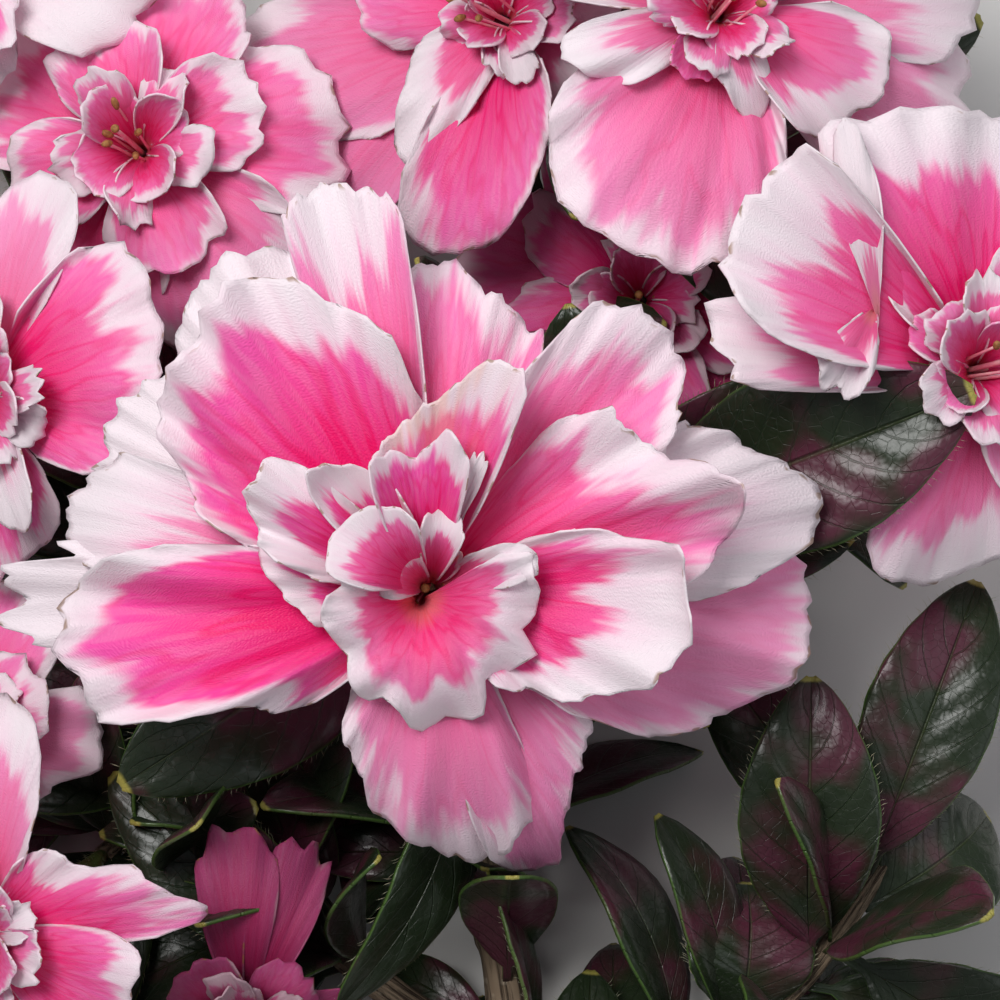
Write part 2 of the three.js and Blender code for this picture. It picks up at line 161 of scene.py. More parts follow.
# Stage: the camera in millimetres, and each light's name, place, size, power and colour.
CAMERA_DISTANCE = 1000 / 3
LENS = 120
SENSOR = 36
LIGHTS = (
    ("key", (-220, 40, 620), 0.3, 3.5, (1, 0.99, 0.98)),
    ("fill", (520, -160, 380), 0.5, 0.6, (0.95, 0.97, 1)),
    ("back", (160, 560, 420), 0.4, 1.0, (1, 1, 1)),
)
SKY = (0.9, 0.93, 1, 1)
SKY_STRENGTH = 0.22

# Each kind of piece draws its random numbers from streams of its own.
STREAMS = {"petals": 0, "central_petals": 100, "stamens": 200, "stalks": 300, "wood": 400,
           "leaves": 500, "small_leaves": 600, "stalk_hairs": 700, "shoot_hairs": 800}


def dice(kind, index=0):
    """The random numbers of one piece of a kind, the same each run."""
    return np.random.default_rng([SEED, STREAMS[kind] + index])


def on_face(x, y, z):
    """A place across the face of the spray, up it and out of it."""
    return np.array([x, y, z], float) @ FACE + (0, 0, FACE_HEIGHT)


def unit(vector):
    """The direction of a vector."""
    return vector / np.linalg.norm(vector)


def turned(vector, axis, angle):
    """A vector turned about a unit axis by an angle in radians."""
    return (vector * math.cos(angle) + np.cross(axis, vector) * math.sin(angle)
            + axis * np.dot(axis, vector) * (1 - math.cos(angle)))


def crosswise(axis, guide=(0.31, 0.87, 0.4)):
    """Two directions that are square to an axis and to each other."""
    first = unit(np.cross(axis, guide))
    return first, np.cross(axis, first)


def petal(turn, reach, spread, lift, arch, **more):
    """A petal: its direction in degrees, its reach from the throat, half the angle it takes up,
    how far its tip stands out of the bloom's plane and how far its midrib arches.

    Its finish may add a rim as directions and reaches, notches as place, size and width, and
    rolls as direction, distance, radius and degrees. The seat, cup, crease and twist bend the
    blade, ruffle and waves frill it, off moves its root and dip sinks it into the throat. Pink
    is how far the colour runs, depth how strong it is, and gold a yellow foot when above 0 and
    painted shade that darkens the whole petal when below 0.
    """
    look = dict(notches=(), rolls=(), seat=0, cup=0, twist=0, ruffle=1, waves=2.2, pink=0.84,
                depth=0.8, crease=0, off=(0, 0), dip=1, gold=0, rim=())
    return SimpleNamespace(turn=turn, reach=reach, spread=spread, lift=lift, arch=arch,
                           **{**look, **more})


def drawn(lift, arch, rim, **more):
    """A petal whose outline is given as directions in degrees and how far it reaches there."""
    first, last = rim[0][0], rim[-1][0]
    return petal((first + last) / 2, max(reach for _, reach in rim),
                 (last - first) / 2 / PETAL_SIDE, lift, arch, rim=rim, **more)


def wide(reach, width):
    """Half the angle that a petal of this reach and width takes up."""
    return math.degrees(math.asin(min(1, width / (1.24 * reach)))) / 0.85


def whorl(count, start, reach, width, lift, arch, **more):
    """Like petals of this reach and width, dealt evenly round the throat."""
    return [petal(start + 360 / count * i, reach, wide(reach, width), lift, arch, **more)
            for i in range(count)]


def broad(turn, reach, width, lift, arch, **more):
    """A plain petal given by its width."""
    return petal(turn, reach, wide(reach, width), lift, arch, **more)


def bloom(name, throat, tilt, toward, *whorls):
    """A bloom: its throat on the face, how far and which way it tilts, and its whorls."""
    out = FACE[2] + math.tan(math.radians(tilt)) * (
        FACE[0] * math.cos(math.radians(toward)) + FACE[1] * math.sin(math.radians(toward)))
    return SimpleNamespace(name=name, throat=np.array(throat, float), tilt=math.radians(tilt),
                           toward=math.radians(toward), out=unit(out), whorls=whorls)


# The outlines of the blooms that face the light are given round each throat, and the petals
# that lie behind them are plain ones of the right reach.
CENTRE_OUTER = [
    petal(183, 43, 15, -5, 4, pink=0.15, depth=0.2, seat=-3, notches=((0.5, 0.12, 0.15),)),
    drawn(-2, 6, ((152, 16), (156, 34), (161, 36), (163, 37), (165, 38), (168, 38.5),
                  (170, 37.6), (172, 37), (176, 35), (180, 20)),
          pink=0.62, depth=0.35, seat=-2.5, ruffle=1.2, cup=1.5),
    drawn(-6, 4, ((136, 22), (139, 33.8), (143, 35), (146.5, 36), (150, 36.6), (154, 36.8),
                  (157, 35.6), (161, 36), (164, 22)), pink=0.3, depth=0.2, seat=-3),
    drawn(-4, 5, ((102, 20), (108, 33), (112, 36.6), (114.5, 37.8), (118, 38), (121.6, 39.2),
                  (124.3, 38.5), (130, 37.8), (133, 36.6), (136.6, 35.4), (140, 33), (148, 22)),
          pink=0.3, depth=0.3, seat=-2.5),
    drawn(2, 4, ((91, 18), (93.5, 34), (94, 36), (95.5, 38), (96, 39.8), (98, 39.4), (101, 40.5),
                 (104, 41.4), (107, 41), (109, 40.5), (111.5, 39.6), (112.5, 36), (115, 20)),
          pink=0.8, depth=0.55, seat=-1.5, ruffle=1.4, waves=2.6, cup=2),
    drawn(-4, 5, ((60, 14), (63, 24), (65, 27), (67, 28.3), (69, 27.3), (72.4, 29), (76.5, 30),
                  (80, 30.1), (83.5, 32.4), (86, 33), (90.5, 33.2), (93, 32.5), (97, 32),
                  (100, 26), (104, 14)), pink=0.86, depth=0.6, seat=-2.5),
    drawn(-9, 5, ((-6, 14), (-3, 27), (0, 31), (3, 35), (5.7, 38.4), (10.4, 41), (15.7, 40.6),
                  (20.7, 37), (22.5, 35.6), (26.4, 34.4), (30.3, 32), (33.3, 30.6), (36, 24),
                  (39, 14)), pink=0.55, depth=0.2, seat=-3, ruffle=0.9, waves=2.6),
    drawn(-13, 6, ((-46, 13), (-39, 21), (-37, 23.6), (-34.7, 27), (-29, 30.4), (-24, 32.8),
                   (-19.6, 34.8), (-17.9, 37), (-14, 38.8), (-9, 40), (-2, 39.8), (3, 39),
                   (7, 35), (11, 18)), pink=1.0, depth=0.28, seat=-3.5, ruffle=0.9, waves=3),
    drawn(-12, 5, ((278, 18), (282, 29), (285, 32), (288, 33.4), (291.7, 34), (294.8, 33),
                   (297, 29.6), (300, 27.4), (306, 24.6), (314, 22.6), (320, 21.4), (327, 13)),
          pink=0.9, depth=0.4, seat=-3.5, ruffle=0.9),
    drawn(-8, 7, ((230, 11), (238, 16.6), (245, 18.6), (251, 20.6), (255, 23.8), (260, 24.2),
                  (265, 26.4), (269, 27), (276, 28.8), (282, 29), (287.7, 27.8), (290, 26.8),
                  (292.2, 25.6), (295.8, 26.8), (298.7, 24), (300, 18), (304, 12)),
          pink=0.88, depth=0.4, seat=-2.5, ruffle=1.1, waves=2.6, cup=-2.5),
]
CENTRE_INNER = [
    drawn(7, 3, ((86, 10), (90, 17), (95.5, 21), (98, 25), (103, 27), (109, 30.2), (112, 31.8),
                 (115, 33.8), (119, 35), (124, 35.8), (128.5, 34.6), (134, 33.4), (139, 33.2),
                 (146, 32.2), (150, 31), (152, 28.8), (157, 25.4), (161, 24), (164.5, 21),
                 (167, 18), (171, 11)), pink=0.78, depth=0.95, seat=0.5, cup=-1.5, ruffle=1.3,
          rolls=((22, 31, 7, 45),)),
    drawn(2, 4, ((22, 14), (28, 25.6), (31, 27.4), (34.4, 30), (36.6, 31), (40, 33), (43, 34.2),
                 (46.4, 35), (50, 35), (52.3, 34.6), (53.7, 35.4), (56.6, 34.1), (60.5, 32.2),
                 (62.4, 30), (64, 26), (68, 20), (72, 12)), pink=0.72, depth=0.6, seat=0),
    drawn(8, 3, ((-6, 11), (0, 25.4), (4, 27), (7, 28), (9.7, 30.2), (11.4, 31), (14, 32),
                 (17, 33.8), (20, 32.4), (22.4, 30.4), (25.3, 29), (29.5, 26.8), (35, 25.4),
                 (40.7, 25), (45, 25), (50.4, 22.4), (53.4, 20), (56, 17), (61, 11)),
          pink=0.8, depth=0.7, seat=0.8, ruffle=1.1, cup=0.3, rolls=((-12, 29.5, 2.2, 85),)),
    drawn(10, 2.5, ((-61, 8), (-56, 11), (-51, 12.6), (-43.7, 14.2), (-41, 16.8), (-33.2, 19),
                 (-27.9, 21.6), (-24.2, 23.2), (-17, 24.8), (-13.8, 25.6), (-9.3, 26.8),
                 (-4.9, 26.8), (0.8, 25.8), (6.7, 26), (10.7, 25), (14, 21), (20, 17), (28, 11)),
          pink=0.72, depth=0.85, seat=1.6, ruffle=1.1, cup=2.5, rolls=((24, 22.5, 2.2, 85),)),
    drawn(2, 6, ((163, 11), (168, 22), (174, 31.6), (180, 35.8), (182.5, 36.8), (185.5, 36.8),
                 (189.7, 38.4), (191.8, 36.4), (196, 35.8), (200.4, 35.6), (203, 35.2),
                 (204.4, 31), (207.4, 27.6), (209.4, 24.8), (211.3, 21.8), (218.9, 19.6),
                 (222.5, 18), (226, 14), (230, 9)), pink=0.78, depth=1, seat=0.5, ruffle=1.4,
          waves=2.6, cup=-1, rolls=((78, 8.5, 5, 60),)),
    drawn(2.5, 5.5, ((-203, 8), (-192, 7.6), (-182, 9), (-171, 9.8), (-158, 9.2), (-143, 8.8),
                     (-131, 10.4), (-119, 11.4), (-110, 10), (-102, 10.6), (-92, 13.2),
                     (-85, 12.9), (-78, 11.8), (-70, 12.4), (-63, 13.6), (-56, 11.6), (-48, 9.8),
                     (-36, 11.4), (-25, 12.8), (-17, 10.6), (-6, 11.4), (5, 12.6), (12, 11.4),
                     (22, 12.8), (31, 10)), pink=0.66, depth=0.6, seat=3.2,
          ruffle=2.2, waves=3, crease=4, off=(1.05, -1), dip=0.3,
          rolls=((96, 9.8, 2, 50), (-100, 8, 2, 50))),
]
CENTRE_HEART = [
    drawn(12, 4, ((58, 9), (62, 18), (63, 21), (64, 21.8), (67, 23), (71, 23.4), (75, 23),
                  (78, 22), (82, 20), (88, 18.3), (92, 17.6), (98, 16.4), (104, 15.3),
                  (112, 14), (120, 9)), pink=0.86, depth=0.8, seat=1.5, cup=3, ruffle=0.7,
          gold=0.3, rolls=((52, 18.5, 3, 90), (125, 9.5, 2.2, 70))),
    drawn(12, 5, ((130, 10), (134, 16.5), (138, 19.4), (141, 20.2), (146, 19.6), (152, 20),
                  (156, 19.2), (161, 17), (165, 16.8), (170, 14), (177, 8)), pink=0.6,
          depth=0.95, seat=2.5, ruffle=1.6, waves=2.6, rolls=((205, 9, 2.4, 100),)),
    drawn(12, 4, ((102, 7), (108, 10.6), (113.5, 12.3), (120, 13.9), (129, 15.9), (136, 17),
                  (140, 15), (148, 8)), pink=0.8, depth=0.95, seat=2.5, cup=3, ruffle=0.8),
    drawn(13, 4, ((64, 6), (70, 10.9), (72, 13), (76.6, 14.6), (80, 15.3), (84, 15.4),
                  (89, 14.2), (95, 12.9), (100, 13.5), (104.6, 13.9), (111, 13.9), (114, 13.4),
                  (119, 10), (124, 6)), pink=0.84, depth=1.0, seat=3, cup=4, ruffle=0.9,
          waves=1.8),
    drawn(12, 5, ((95, 4.4), (99, 6.6), (109, 8.6), (119.5, 9.4), (133, 10.4), (146, 10.7),
                  (158, 10.5), (169.5, 9.8), (178, 5)), pink=0.78, depth=0.75, seat=4, cup=3.5,
          ruffle=0.5),
    drawn(8, 4, ((155, 7), (161, 16.6), (165, 18), (170, 17.2), (174, 16.4), (179, 14.6),
                 (184, 13.8), (190, 12.6), (199, 11.2), (206, 7)), pink=0.84, depth=1, seat=1.5,
          cup=2, ruffle=0.7),
    drawn(9, 4, ((2, 7), (8, 11), (17, 11.2), (27, 10.2), (34, 8), (42, 4.5)), pink=0.6,
          depth=0.5, seat=3, cup=2.5, ruffle=0.9),
    petal(69, 14.4, 8, 12, 3, pink=0.4, depth=0.5, seat=3, cup=2, ruffle=0.8, twist=30),
    petal(76, 8, 26, 10, 4, pink=0.6, depth=0.7, seat=3.5, cup=3, ruffle=0.8,
          rolls=((76, 6, 1.6, 120),)),
    petal(150, 5.6, 54, 7, 4, pink=0.55, depth=0.5, seat=4, ruffle=0.6, cup=2),
    petal(70, 5.2, 44, 7, 3, pink=0.9, depth=1, seat=2.5, cup=2, ruffle=0.6, gold=0.7),
]


def heart_of(reach, start, **more):
    """The small crumpled petals at the middle of a bloom."""
    small = whorl(4, start, reach, reach, 9, 2, pink=0.85, depth=0.9, seat=3, cup=2.5,
                  ruffle=1.2, twist=30, **more)
    return small + whorl(5, start + 25, 1.35 * reach, 0.9 * reach, 9, 3, pink=0.8, depth=0.7,
                         seat=2.5, cup=-2, ruffle=1.4, twist=-35, **more)


BLOOMS = [
    bloom("centre", (-7, -8.8, 0), 4, -90, CENTRE_OUTER, CENTRE_INNER, CENTRE_HEART),
    bloom("right", (50.1, 13.7, -18), 30, 12, [
        drawn(2, 5, ((60, 14), (67, 24), (75, 27), (84, 27.5), (92, 27.3), (100, 27.8),
                     (108, 28.4), (113, 28.1), (118, 28.8), (124, 30.4), (128, 29.5), (131, 25),
                     (134, 21.5), (138, 18), (143, 14), (152, 9)),
              pink=0.76, depth=0.95, ruffle=1.1, seat=1.5),
        broad(55, 30, 20, -2, 4, pink=0.8, depth=0.5),
        broad(18, 32, 22, -4, 4),
        broad(-38, 28, 20, -6, 4, depth=0.4),
        drawn(-9, 4, ((224, 10), (232, 19), (239.5, 23), (244.5, 24.6), (251.5, 24),
                      (258, 23.6), (264.5, 22), (273, 20.6), (282, 20), (290, 20), (300, 12)),
              pink=0.8, depth=0.6),
        drawn(0, 3, ((158, 12), (164, 26), (168, 30.4), (171, 29.4), (176, 29), (180, 26.6),
                     (183.5, 27), (186.5, 24), (188, 19.6), (191, 14), (195, 8)),
              pink=0.72, depth=0.6, ruffle=1.4, waves=3),
    ], [
        drawn(6, 4, ((127, 8), (129, 25), (132, 29.6), (141, 29.8), (149, 30.2), (157, 30),
                     (163, 29.2), (168, 27), (173, 24), (178, 19), (183, 11)),
              pink=0.74, depth=0.85, ruffle=1.2, waves=2.6, cup=3, seat=0.5,
              rolls=NO_ROLL),
        drawn(7.5, 1.5, ((90, 10), (93, 16), (96, 19.5), (100, 21.5), (104, 20), (108, 15),
                         (112, 10)), pink=0.25, depth=0.3, seat=5.6, dip=0, ruffle=1.8,
              off=(6.3, 10.4)),
        petal(240, 10, 32, 6, 1.5, pink=0.5, depth=0.6, seat=5.4, dip=0, ruffle=2.4, waves=4,
              off=(0.7, -13.2)),
        broad(50, 16, 12, 6, 3, seat=2),
        broad(-10, 20, 14, 5, 3, seat=2),
        broad(-50, 15, 12, 5, 3, seat=2, depth=0.5, ruffle=1.2),
        petal(84, 10, 34, 7, 3, pink=0.6, seat=2, cup=3),
        petal(150, 9, 30, 6, 3, pink=1, depth=1, seat=1, cup=2),
    ], heart_of(6, 40)),
    bloom("left", (-54.9, 10.7, -22), 34, 176, [
        drawn(-3, 4, ((52, 12), (58, 20), (64, 24), (69, 24.8), (73, 25.2), (79, 24.7),
                      (84, 22.6), (87, 20.4), (92, 20.6), (98, 18), (104, 10)),
              pink=0.78, depth=0.4),
        drawn(-2, 4, ((-43, 9), (-33, 15), (-25, 17), (-15, 18), (-5, 19), (5, 20),
                      (13, 20.6), (17.5, 21.5), (24.5, 21.2), (31.5, 22.2), (40, 22.4),
                      (46.5, 22.4), (51, 20.8), (56, 18), (61, 10)),
              pink=0.84, depth=0.95, waves=2.8),
        drawn(-5, 4, ((-104, 10), (-97, 18), (-90, 20.5), (-84, 19), (-75, 17.6), (-66, 17),
                      (-58, 16), (-52, 14.5), (-45, 9)), pink=0.9, depth=1),
        broad(215, 31, 21, -4, 5),
        broad(165, 33, 21, -4, 5),
        broad(120, 30, 20, -4, 5),
    ], [
        drawn(7, 3, ((-92, 5), (-84, 10.5), (-76, 14), (-66, 15.4), (-58, 14.6), (-52, 12),
                     (-44, 7)), pink=0.45, depth=0.7, seat=2, ruffle=1.4, twist=25),
        petal(-26, 9, 28, 7, 3, pink=0.5, depth=0.5, seat=3, cup=3),
        petal(84, 12, 20, 8, 3, pink=0.6, depth=0.9, seat=2, cup=2),
        broad(155, 22, 15, 6, 4, seat=2),
        broad(220, 22, 15, 6, 4, seat=2),
    ], heart_of(6, 60)),
    bloom("top_right", (23.2, 51.4, -20), 28, 45, [
        drawn(-2, 5, ((200, 11), (208, 19), (214, 22), (222.5, 24.6), (228, 26.4),
                      (232, 27.4), (237.5, 28), (243, 27.8), (248.5, 28.4), (252.5, 28.8),
                      (254, 27.8), (257, 29.7), (262, 29.4), (264, 28), (267, 27), (273, 26.6),
                      (280, 25), (288, 22), (297, 13)),
              pink=0.84, depth=0.55, ruffle=1.1, waves=3),
        broad(-22, 30, 20, -8, 4, pink=0.75, depth=0.3),
        broad(18, 31, 20, -6, 4, pink=0.7, depth=0.4),
        broad(52, 32, 20, -5, 5),
        broad(95, 32, 21, -4, 5),
        broad(145, 26, 18, -3, 4, pink=0.7, depth=0.5, ruffle=1.3),
    ], [
        drawn(5, 4, ((184, 7), (190, 15), (194, 17.4), (199, 18), (204, 17.6), (208, 17),
                     (214, 15), (222, 13.4), (231, 8)),
              pink=0.5, depth=0.5, seat=2, ruffle=1.4),
        drawn(4, 4, ((258, 5), (264, 8), (270, 9), (278, 11.6), (286, 13), (292, 12),
                     (300, 10), (313, 6)), pink=0.5, depth=0.5, seat=3, ruffle=1.2),
        drawn(2, 4, ((294, 9), (300, 15), (306, 17), (314, 17.4), (322, 17.6), (332, 19.4),
                     (340, 20), (350, 20), (357, 19.5), (366, 12)),
              pink=0.74, depth=0.7, seat=2),
        petal(242, 9, 30, 5, 3, pink=1.1, depth=1, seat=1, cup=2),
        broad(60, 22, 15, 6, 4, seat=2),
        broad(110, 18, 13, 7, 4, seat=2),
    ], heart_of(6, 20)),
    bloom("top", (0.5, 52.5, -31), 32, 165, [
        drawn(-2, 4, ((164, 13), (170, 27), (176, 31.4), (184, 32.4), (190, 32), (196, 31),
                      (203, 29.4), (207.5, 26.6), (213, 22.6), (221, 19), (229, 12)),
              pink=0.9, depth=0.5),
        drawn(-8, 4, ((203, 13), (208, 28), (214, 33.6), (220, 34.4), (226, 32), (232, 28.6),
                      (238, 24), (244, 13)), pink=1, depth=0.5),
        broad(132, 30, 20, -4, 5),
        broad(86, 26, 17, -4, 5),
        broad(30, 14, 13, -2, 3, pink=0.5, depth=0.4, ruffle=1.3),
        broad(-45, 12, 12, -2, 3, pink=0.6, depth=0.5, ruffle=1.3),
    ], [
        drawn(5, 4, ((233, 12), (238, 21), (242, 25), (247, 26.6), (253, 27.4), (259.5, 26.8),
                     (267, 25.4), (270, 24.4), (273.5, 22), (279, 19.6), (281.5, 17.8),
                     (285.5, 16), (293, 12.8), (300, 9), (307, 5)),
              pink=0.88, depth=0.95, seat=2, ruffle=1.3, waves=3.2, cup=3),
        drawn(7, 4, ((184, 5), (193, 9), (203, 11), (214, 13), (221, 15.4), (228, 18),
                     (234, 19.6), (240, 19), (245, 15.4), (251, 11), (260, 7), (270, 4.4)),
              pink=0.55, depth=0.6, seat=3, ruffle=1.2, waves=3),
        petal(284, 8.4, 24, 7, 3, pink=0.4, depth=0.5, seat=3, cup=3),
        broad(160, 17, 13, 6, 4, seat=2),
        broad(100, 15, 11, 6, 4, seat=2),
    ], heart_of(5.5, 30)),
    bloom("low_left", (-54.3, -45.5, -15), 28, 210, [
        drawn(1, 4, ((0, 8), (4, 20), (7, 24), (9, 25), (11, 25.2), (13, 24.6), (14.4, 22.6),
                     (17, 21.4), (21, 20.6), (25.5, 19.8), (29, 18.6), (31, 16.2), (36, 14.2),
                     (42, 13.8), (48, 13.5), (55, 12), (62, 8)),
              pink=0.8, depth=1, ruffle=1.2, cup=-2.5),
        drawn(-1, 4, ((53, 9), (59, 12.4), (62, 15.4), (66, 18.8), (69, 21.4), (72, 23.4),
                      (78, 25.4), (84, 26), (92, 26), (100, 24), (109, 12)),
              pink=0.7, depth=0.5),
        broad(150, 27, 19, -4, 4),
        broad(215, 27, 19, -4, 4),
        broad(-72, 22, 17, -4, 4, pink=0.8, depth=0.6),
    ], [
        drawn(5, 3, ((-50, 8), (-42, 15), (-33, 18), (-24, 19), (-20, 18.6), (-16.5, 17.4),
                     (-9.5, 18), (-1, 18.4), (4, 17.2), (8, 14.8), (12, 11.4), (17, 7)),
              pink=0.86, depth=1, seat=2, ruffle=1.1),
        petal(28, 8, 26, 7, 3, pink=0.5, depth=0.7, seat=3, cup=3),
        broad(110, 14, 10, 6, 3, seat=2),
        broad(185, 18, 13, 5, 3, seat=2),
        broad(250, 17, 13, 5, 3, seat=2),
    ], heart_of(6, 45)),
    bloom("between", (-40.1, 39, -38), 12, 140, [
        broad(-58, 24, 20, -3, 4, depth=0.6),
        broad(-118, 20, 18, -3, 4),
        broad(8, 23, 18, -3, 4),
        broad(80, 22, 18, -3, 4),
        broad(150, 22, 18, -3, 4),
    ], whorl(4, 20, 15, 12, 5, 3, seat=2), heart_of(7, 30)),
    # This bloom lies in shade below the others: its negative gold values paint that shade into its
    # petals.
    bloom("behind", (15.7, 22.4, -40), 6, 60,
          whorl(5, 25, 21, 18, -2, 4, depth=1, pink=1, gold=-0.5),
          whorl(5, 60, 16, 12, 5, 3, seat=2, depth=1, pink=0.9, ruffle=1.3, gold=-0.4),
          heart_of(6, 10, gold=-0.3)),
    bloom("far_left", (-58.5, -25.5, -30), 30, 180, [
        drawn(-3, 3, ((-52, 7), (-42, 11), (-30, 11.8), (-23.4, 12), (-15, 15.2), (-12.9, 16.3),
                      (-5, 16), (3.7, 15.8), (12, 16), (22, 15), (32, 8)), pink=0.85, depth=0.35),
        broad(70, 17, 14, -3, 4),
        broad(138, 24, 17, -3, 4),
        broad(200, 25, 17, -3, 4),
        broad(262, 16, 13, -3, 4),
    ], whorl(4, 35, 12, 10, 5, 3, seat=2), heart_of(7, 10)),
    bloom("top_left", (-63.6, 64.7, -45), 28, 132, [
        broad(-21, 26.8, 17, -2, 4, pink=0.5, depth=0.3),
        broad(48, 27, 19, -3, 5),
        broad(110, 28, 21, -4, 5),
        broad(175, 28, 21, -4, 5),
        broad(-88, 22, 18, -3, 4),
    ], whorl(4, 20, 19, 13, 6, 4, seat=2), heart_of(7, 30)),
    # This bloom lies in shade under the leaves: its petals are deep pink to the rim, and their
    # negative gold values paint shade into them.
    bloom("under_left", (-27, -56, -24), 30, -90, [
        broad(92, 22, 8, -6, 3, depth=1, pink=1.1, ruffle=1.3, gold=-0.8),
        broad(72, 21, 7, -7, 3, depth=1, pink=1.1, ruffle=1.3, gold=-0.8),
        broad(-15, 14, 12, -3, 3, depth=1, pink=1.1, gold=-0.7),
        broad(-80, 16, 13, -3, 3, depth=1, pink=1.1, gold=-0.7),
        broad(205, 15, 12, -3, 3, depth=1, pink=1.1, gold=-0.7),
    ], whorl(4, 40, 9.5, 8, 5, 3, seat=2, depth=1, pink=1.1, gold=-0.7),
       heart_of(5.5, 10, gold=-0.6)),
]


class Curve:
    """A smooth centripetal curve through points, measured along its length from 0 to 1."""

    STEPS = 200

    def __init__(self, points):
        self.points = [np.array(p, float) for p in points]
        ends = 2 * self.points[0] - self.points[1], 2 * self.points[-1] - self.points[-2]
        self.guides = [ends[0], *self.points, ends[1]]
        self.places = np.array([self.loose(i / self.STEPS) for i in range(self.STEPS + 1)])
        steps = np.linalg.norm(np.diff(self.places, axis=0), axis=1)
        self.lengths = np.concatenate([[0], np.cumsum(steps)])
        self.length = self.lengths[-1]

    def loose(self, t):
        """The point at a share of the points given, before the length is measured."""
        spans = len(self.points) - 1
        span = min(int(t * spans), spans - 1)
        at = t * spans - span
        a, b, c, d = self.guides[span:span + 4]
        ab, bc, cd = (np.linalg.norm(q - p) ** 0.5 for p, q in ((a, b), (b, c), (c, d)))
        start = ((b - a) / ab - (c - a) / (ab + bc) + (c - b) / bc) * bc
        end = ((c - b) / bc - (d - b) / (bc + cd) + (d - c) / cd) * bc
        cubic = 2 * b - 2 * c + start + end
        square = -3 * b + 3 * c - 2 * start - end
        return b + start * at + square * at ** 2 + cubic * at ** 3

    def at(self, share):
        """The point at a share of the length."""
        return np.array([np.interp(share * self.length, self.lengths, self.places[:, k])
                         for k in range(3)])

    def along(self, share):
        """The curve's direction at a share of the length."""
        step = 0.002
        return unit(self.at(min(1, share + step)) - self.at(max(0, share - step)))


def limb(name, points, width, tip_width):
    """A stem, bough or shoot through these points."""
    return SimpleNamespace(name=name, curve=Curve(points), width=width, tip_width=tip_width)


def side_limb(name, parent, share, points, width, tip_width):
    """A limb that springs from another, this far along it."""
    return limb(name, [parent.curve.at(share), *points], width, tip_width)


def shoot(name, parent, share, rise=0):
    """The shoot that ends in the stalk of the bloom of this name."""
    flower = next(b for b in BLOOMS if b.name == name)
    start = parent.curve.at(share)
    behind = TUBE_LONG + CALYX_LONG + STALK_LONG + 2 * GAP
    end = on_face(*flower.throat) - flower.out * behind
    span = np.linalg.norm(end - start)
    return side_limb(f"shoot_{name}", parent, share, [
        start + (end - start) * SHOOT_BEND + (0, 0, rise),
        end - flower.out * SHOOT_STRAIGHT * span,
        end,
    ], SHOOT_WIDE, SHOOT_TIP_WIDE)


def radius_at(each, share):
    """The radius of a limb this far along it."""
    return (each.width * (1 - share) + each.tip_width * share) / 2


def stalk_foot(flower):
    """Where a bloom's stalk begins, below its calyx and tube."""
    return on_face(*flower.throat) - flower.out * (TUBE_LONG + GAP + CALYX_LONG + STALK_LONG)


STEM = limb("stem", [
    CUT_MIDDLE, (6, -96, 2.7), (4, -62, 4), (-1, -26, 8), (-4, 6, 11), (-1, 32, 15), (6, 50, 21),
], STEM_CUT_WIDE, STEM_TIP_WIDE)
BOUGH_LEFT = side_limb("bough_left", STEM, 0.42, [
    (-16, -36, 8), (-32, -20, 10), (-39, 4, 12), (-38, 28, 14),
], BOUGH_WIDE, BOUGH_TIP_WIDE)
BOUGH_RIGHT = side_limb("bough_right", STEM, 0.34, [
    (18, -50, 9), (32, -40, 15), (42, -27, 19),
], SHOOT_WIDE, SHOOT_TIP_WIDE)
SHOOTS = [
    shoot("centre", STEM, 0.62, 3),
    shoot("right", STEM, 0.74, -2),
    shoot("behind", STEM, 0.84),
    shoot("top", STEM, 0.92),
    shoot("top_right", STEM, 0.985),
    shoot("left", BOUGH_LEFT, 0.78),
    shoot("between", BOUGH_LEFT, 0.9),
    shoot("top_left", BOUGH_LEFT, 0.985),
    shoot("low_left", BOUGH_LEFT, 0.36, -1),
    shoot("far_left", BOUGH_LEFT, 0.55),
    shoot("under_left", BOUGH_LEFT, 0.12),
]
SHOOT_RIGHT = SHOOTS[1]
SHOOT_LEAFY = side_limb("shoot_leafy", SHOOT_RIGHT, 0.3, [
    on_face(11, 0, -39), on_face(13, -3, -21),
], SHOOT_TIP_WIDE, SHOOT_TIP_WIDE * SHOOT_TAPER)
LIMBS = [STEM, BOUGH_LEFT, BOUGH_RIGHT, *SHOOTS, SHOOT_LEAFY]


def leaf(on, share, tip, width, arch, roll=0):
    """A leaf: its carrier and where along it, its tip, its width, arch and roll in degrees."""
    return SimpleNamespace(carrier=next(each for each in LIMBS if each.name == on), share=share,
                           tip=np.array(tip, float), width=width, arch=arch, roll=roll)


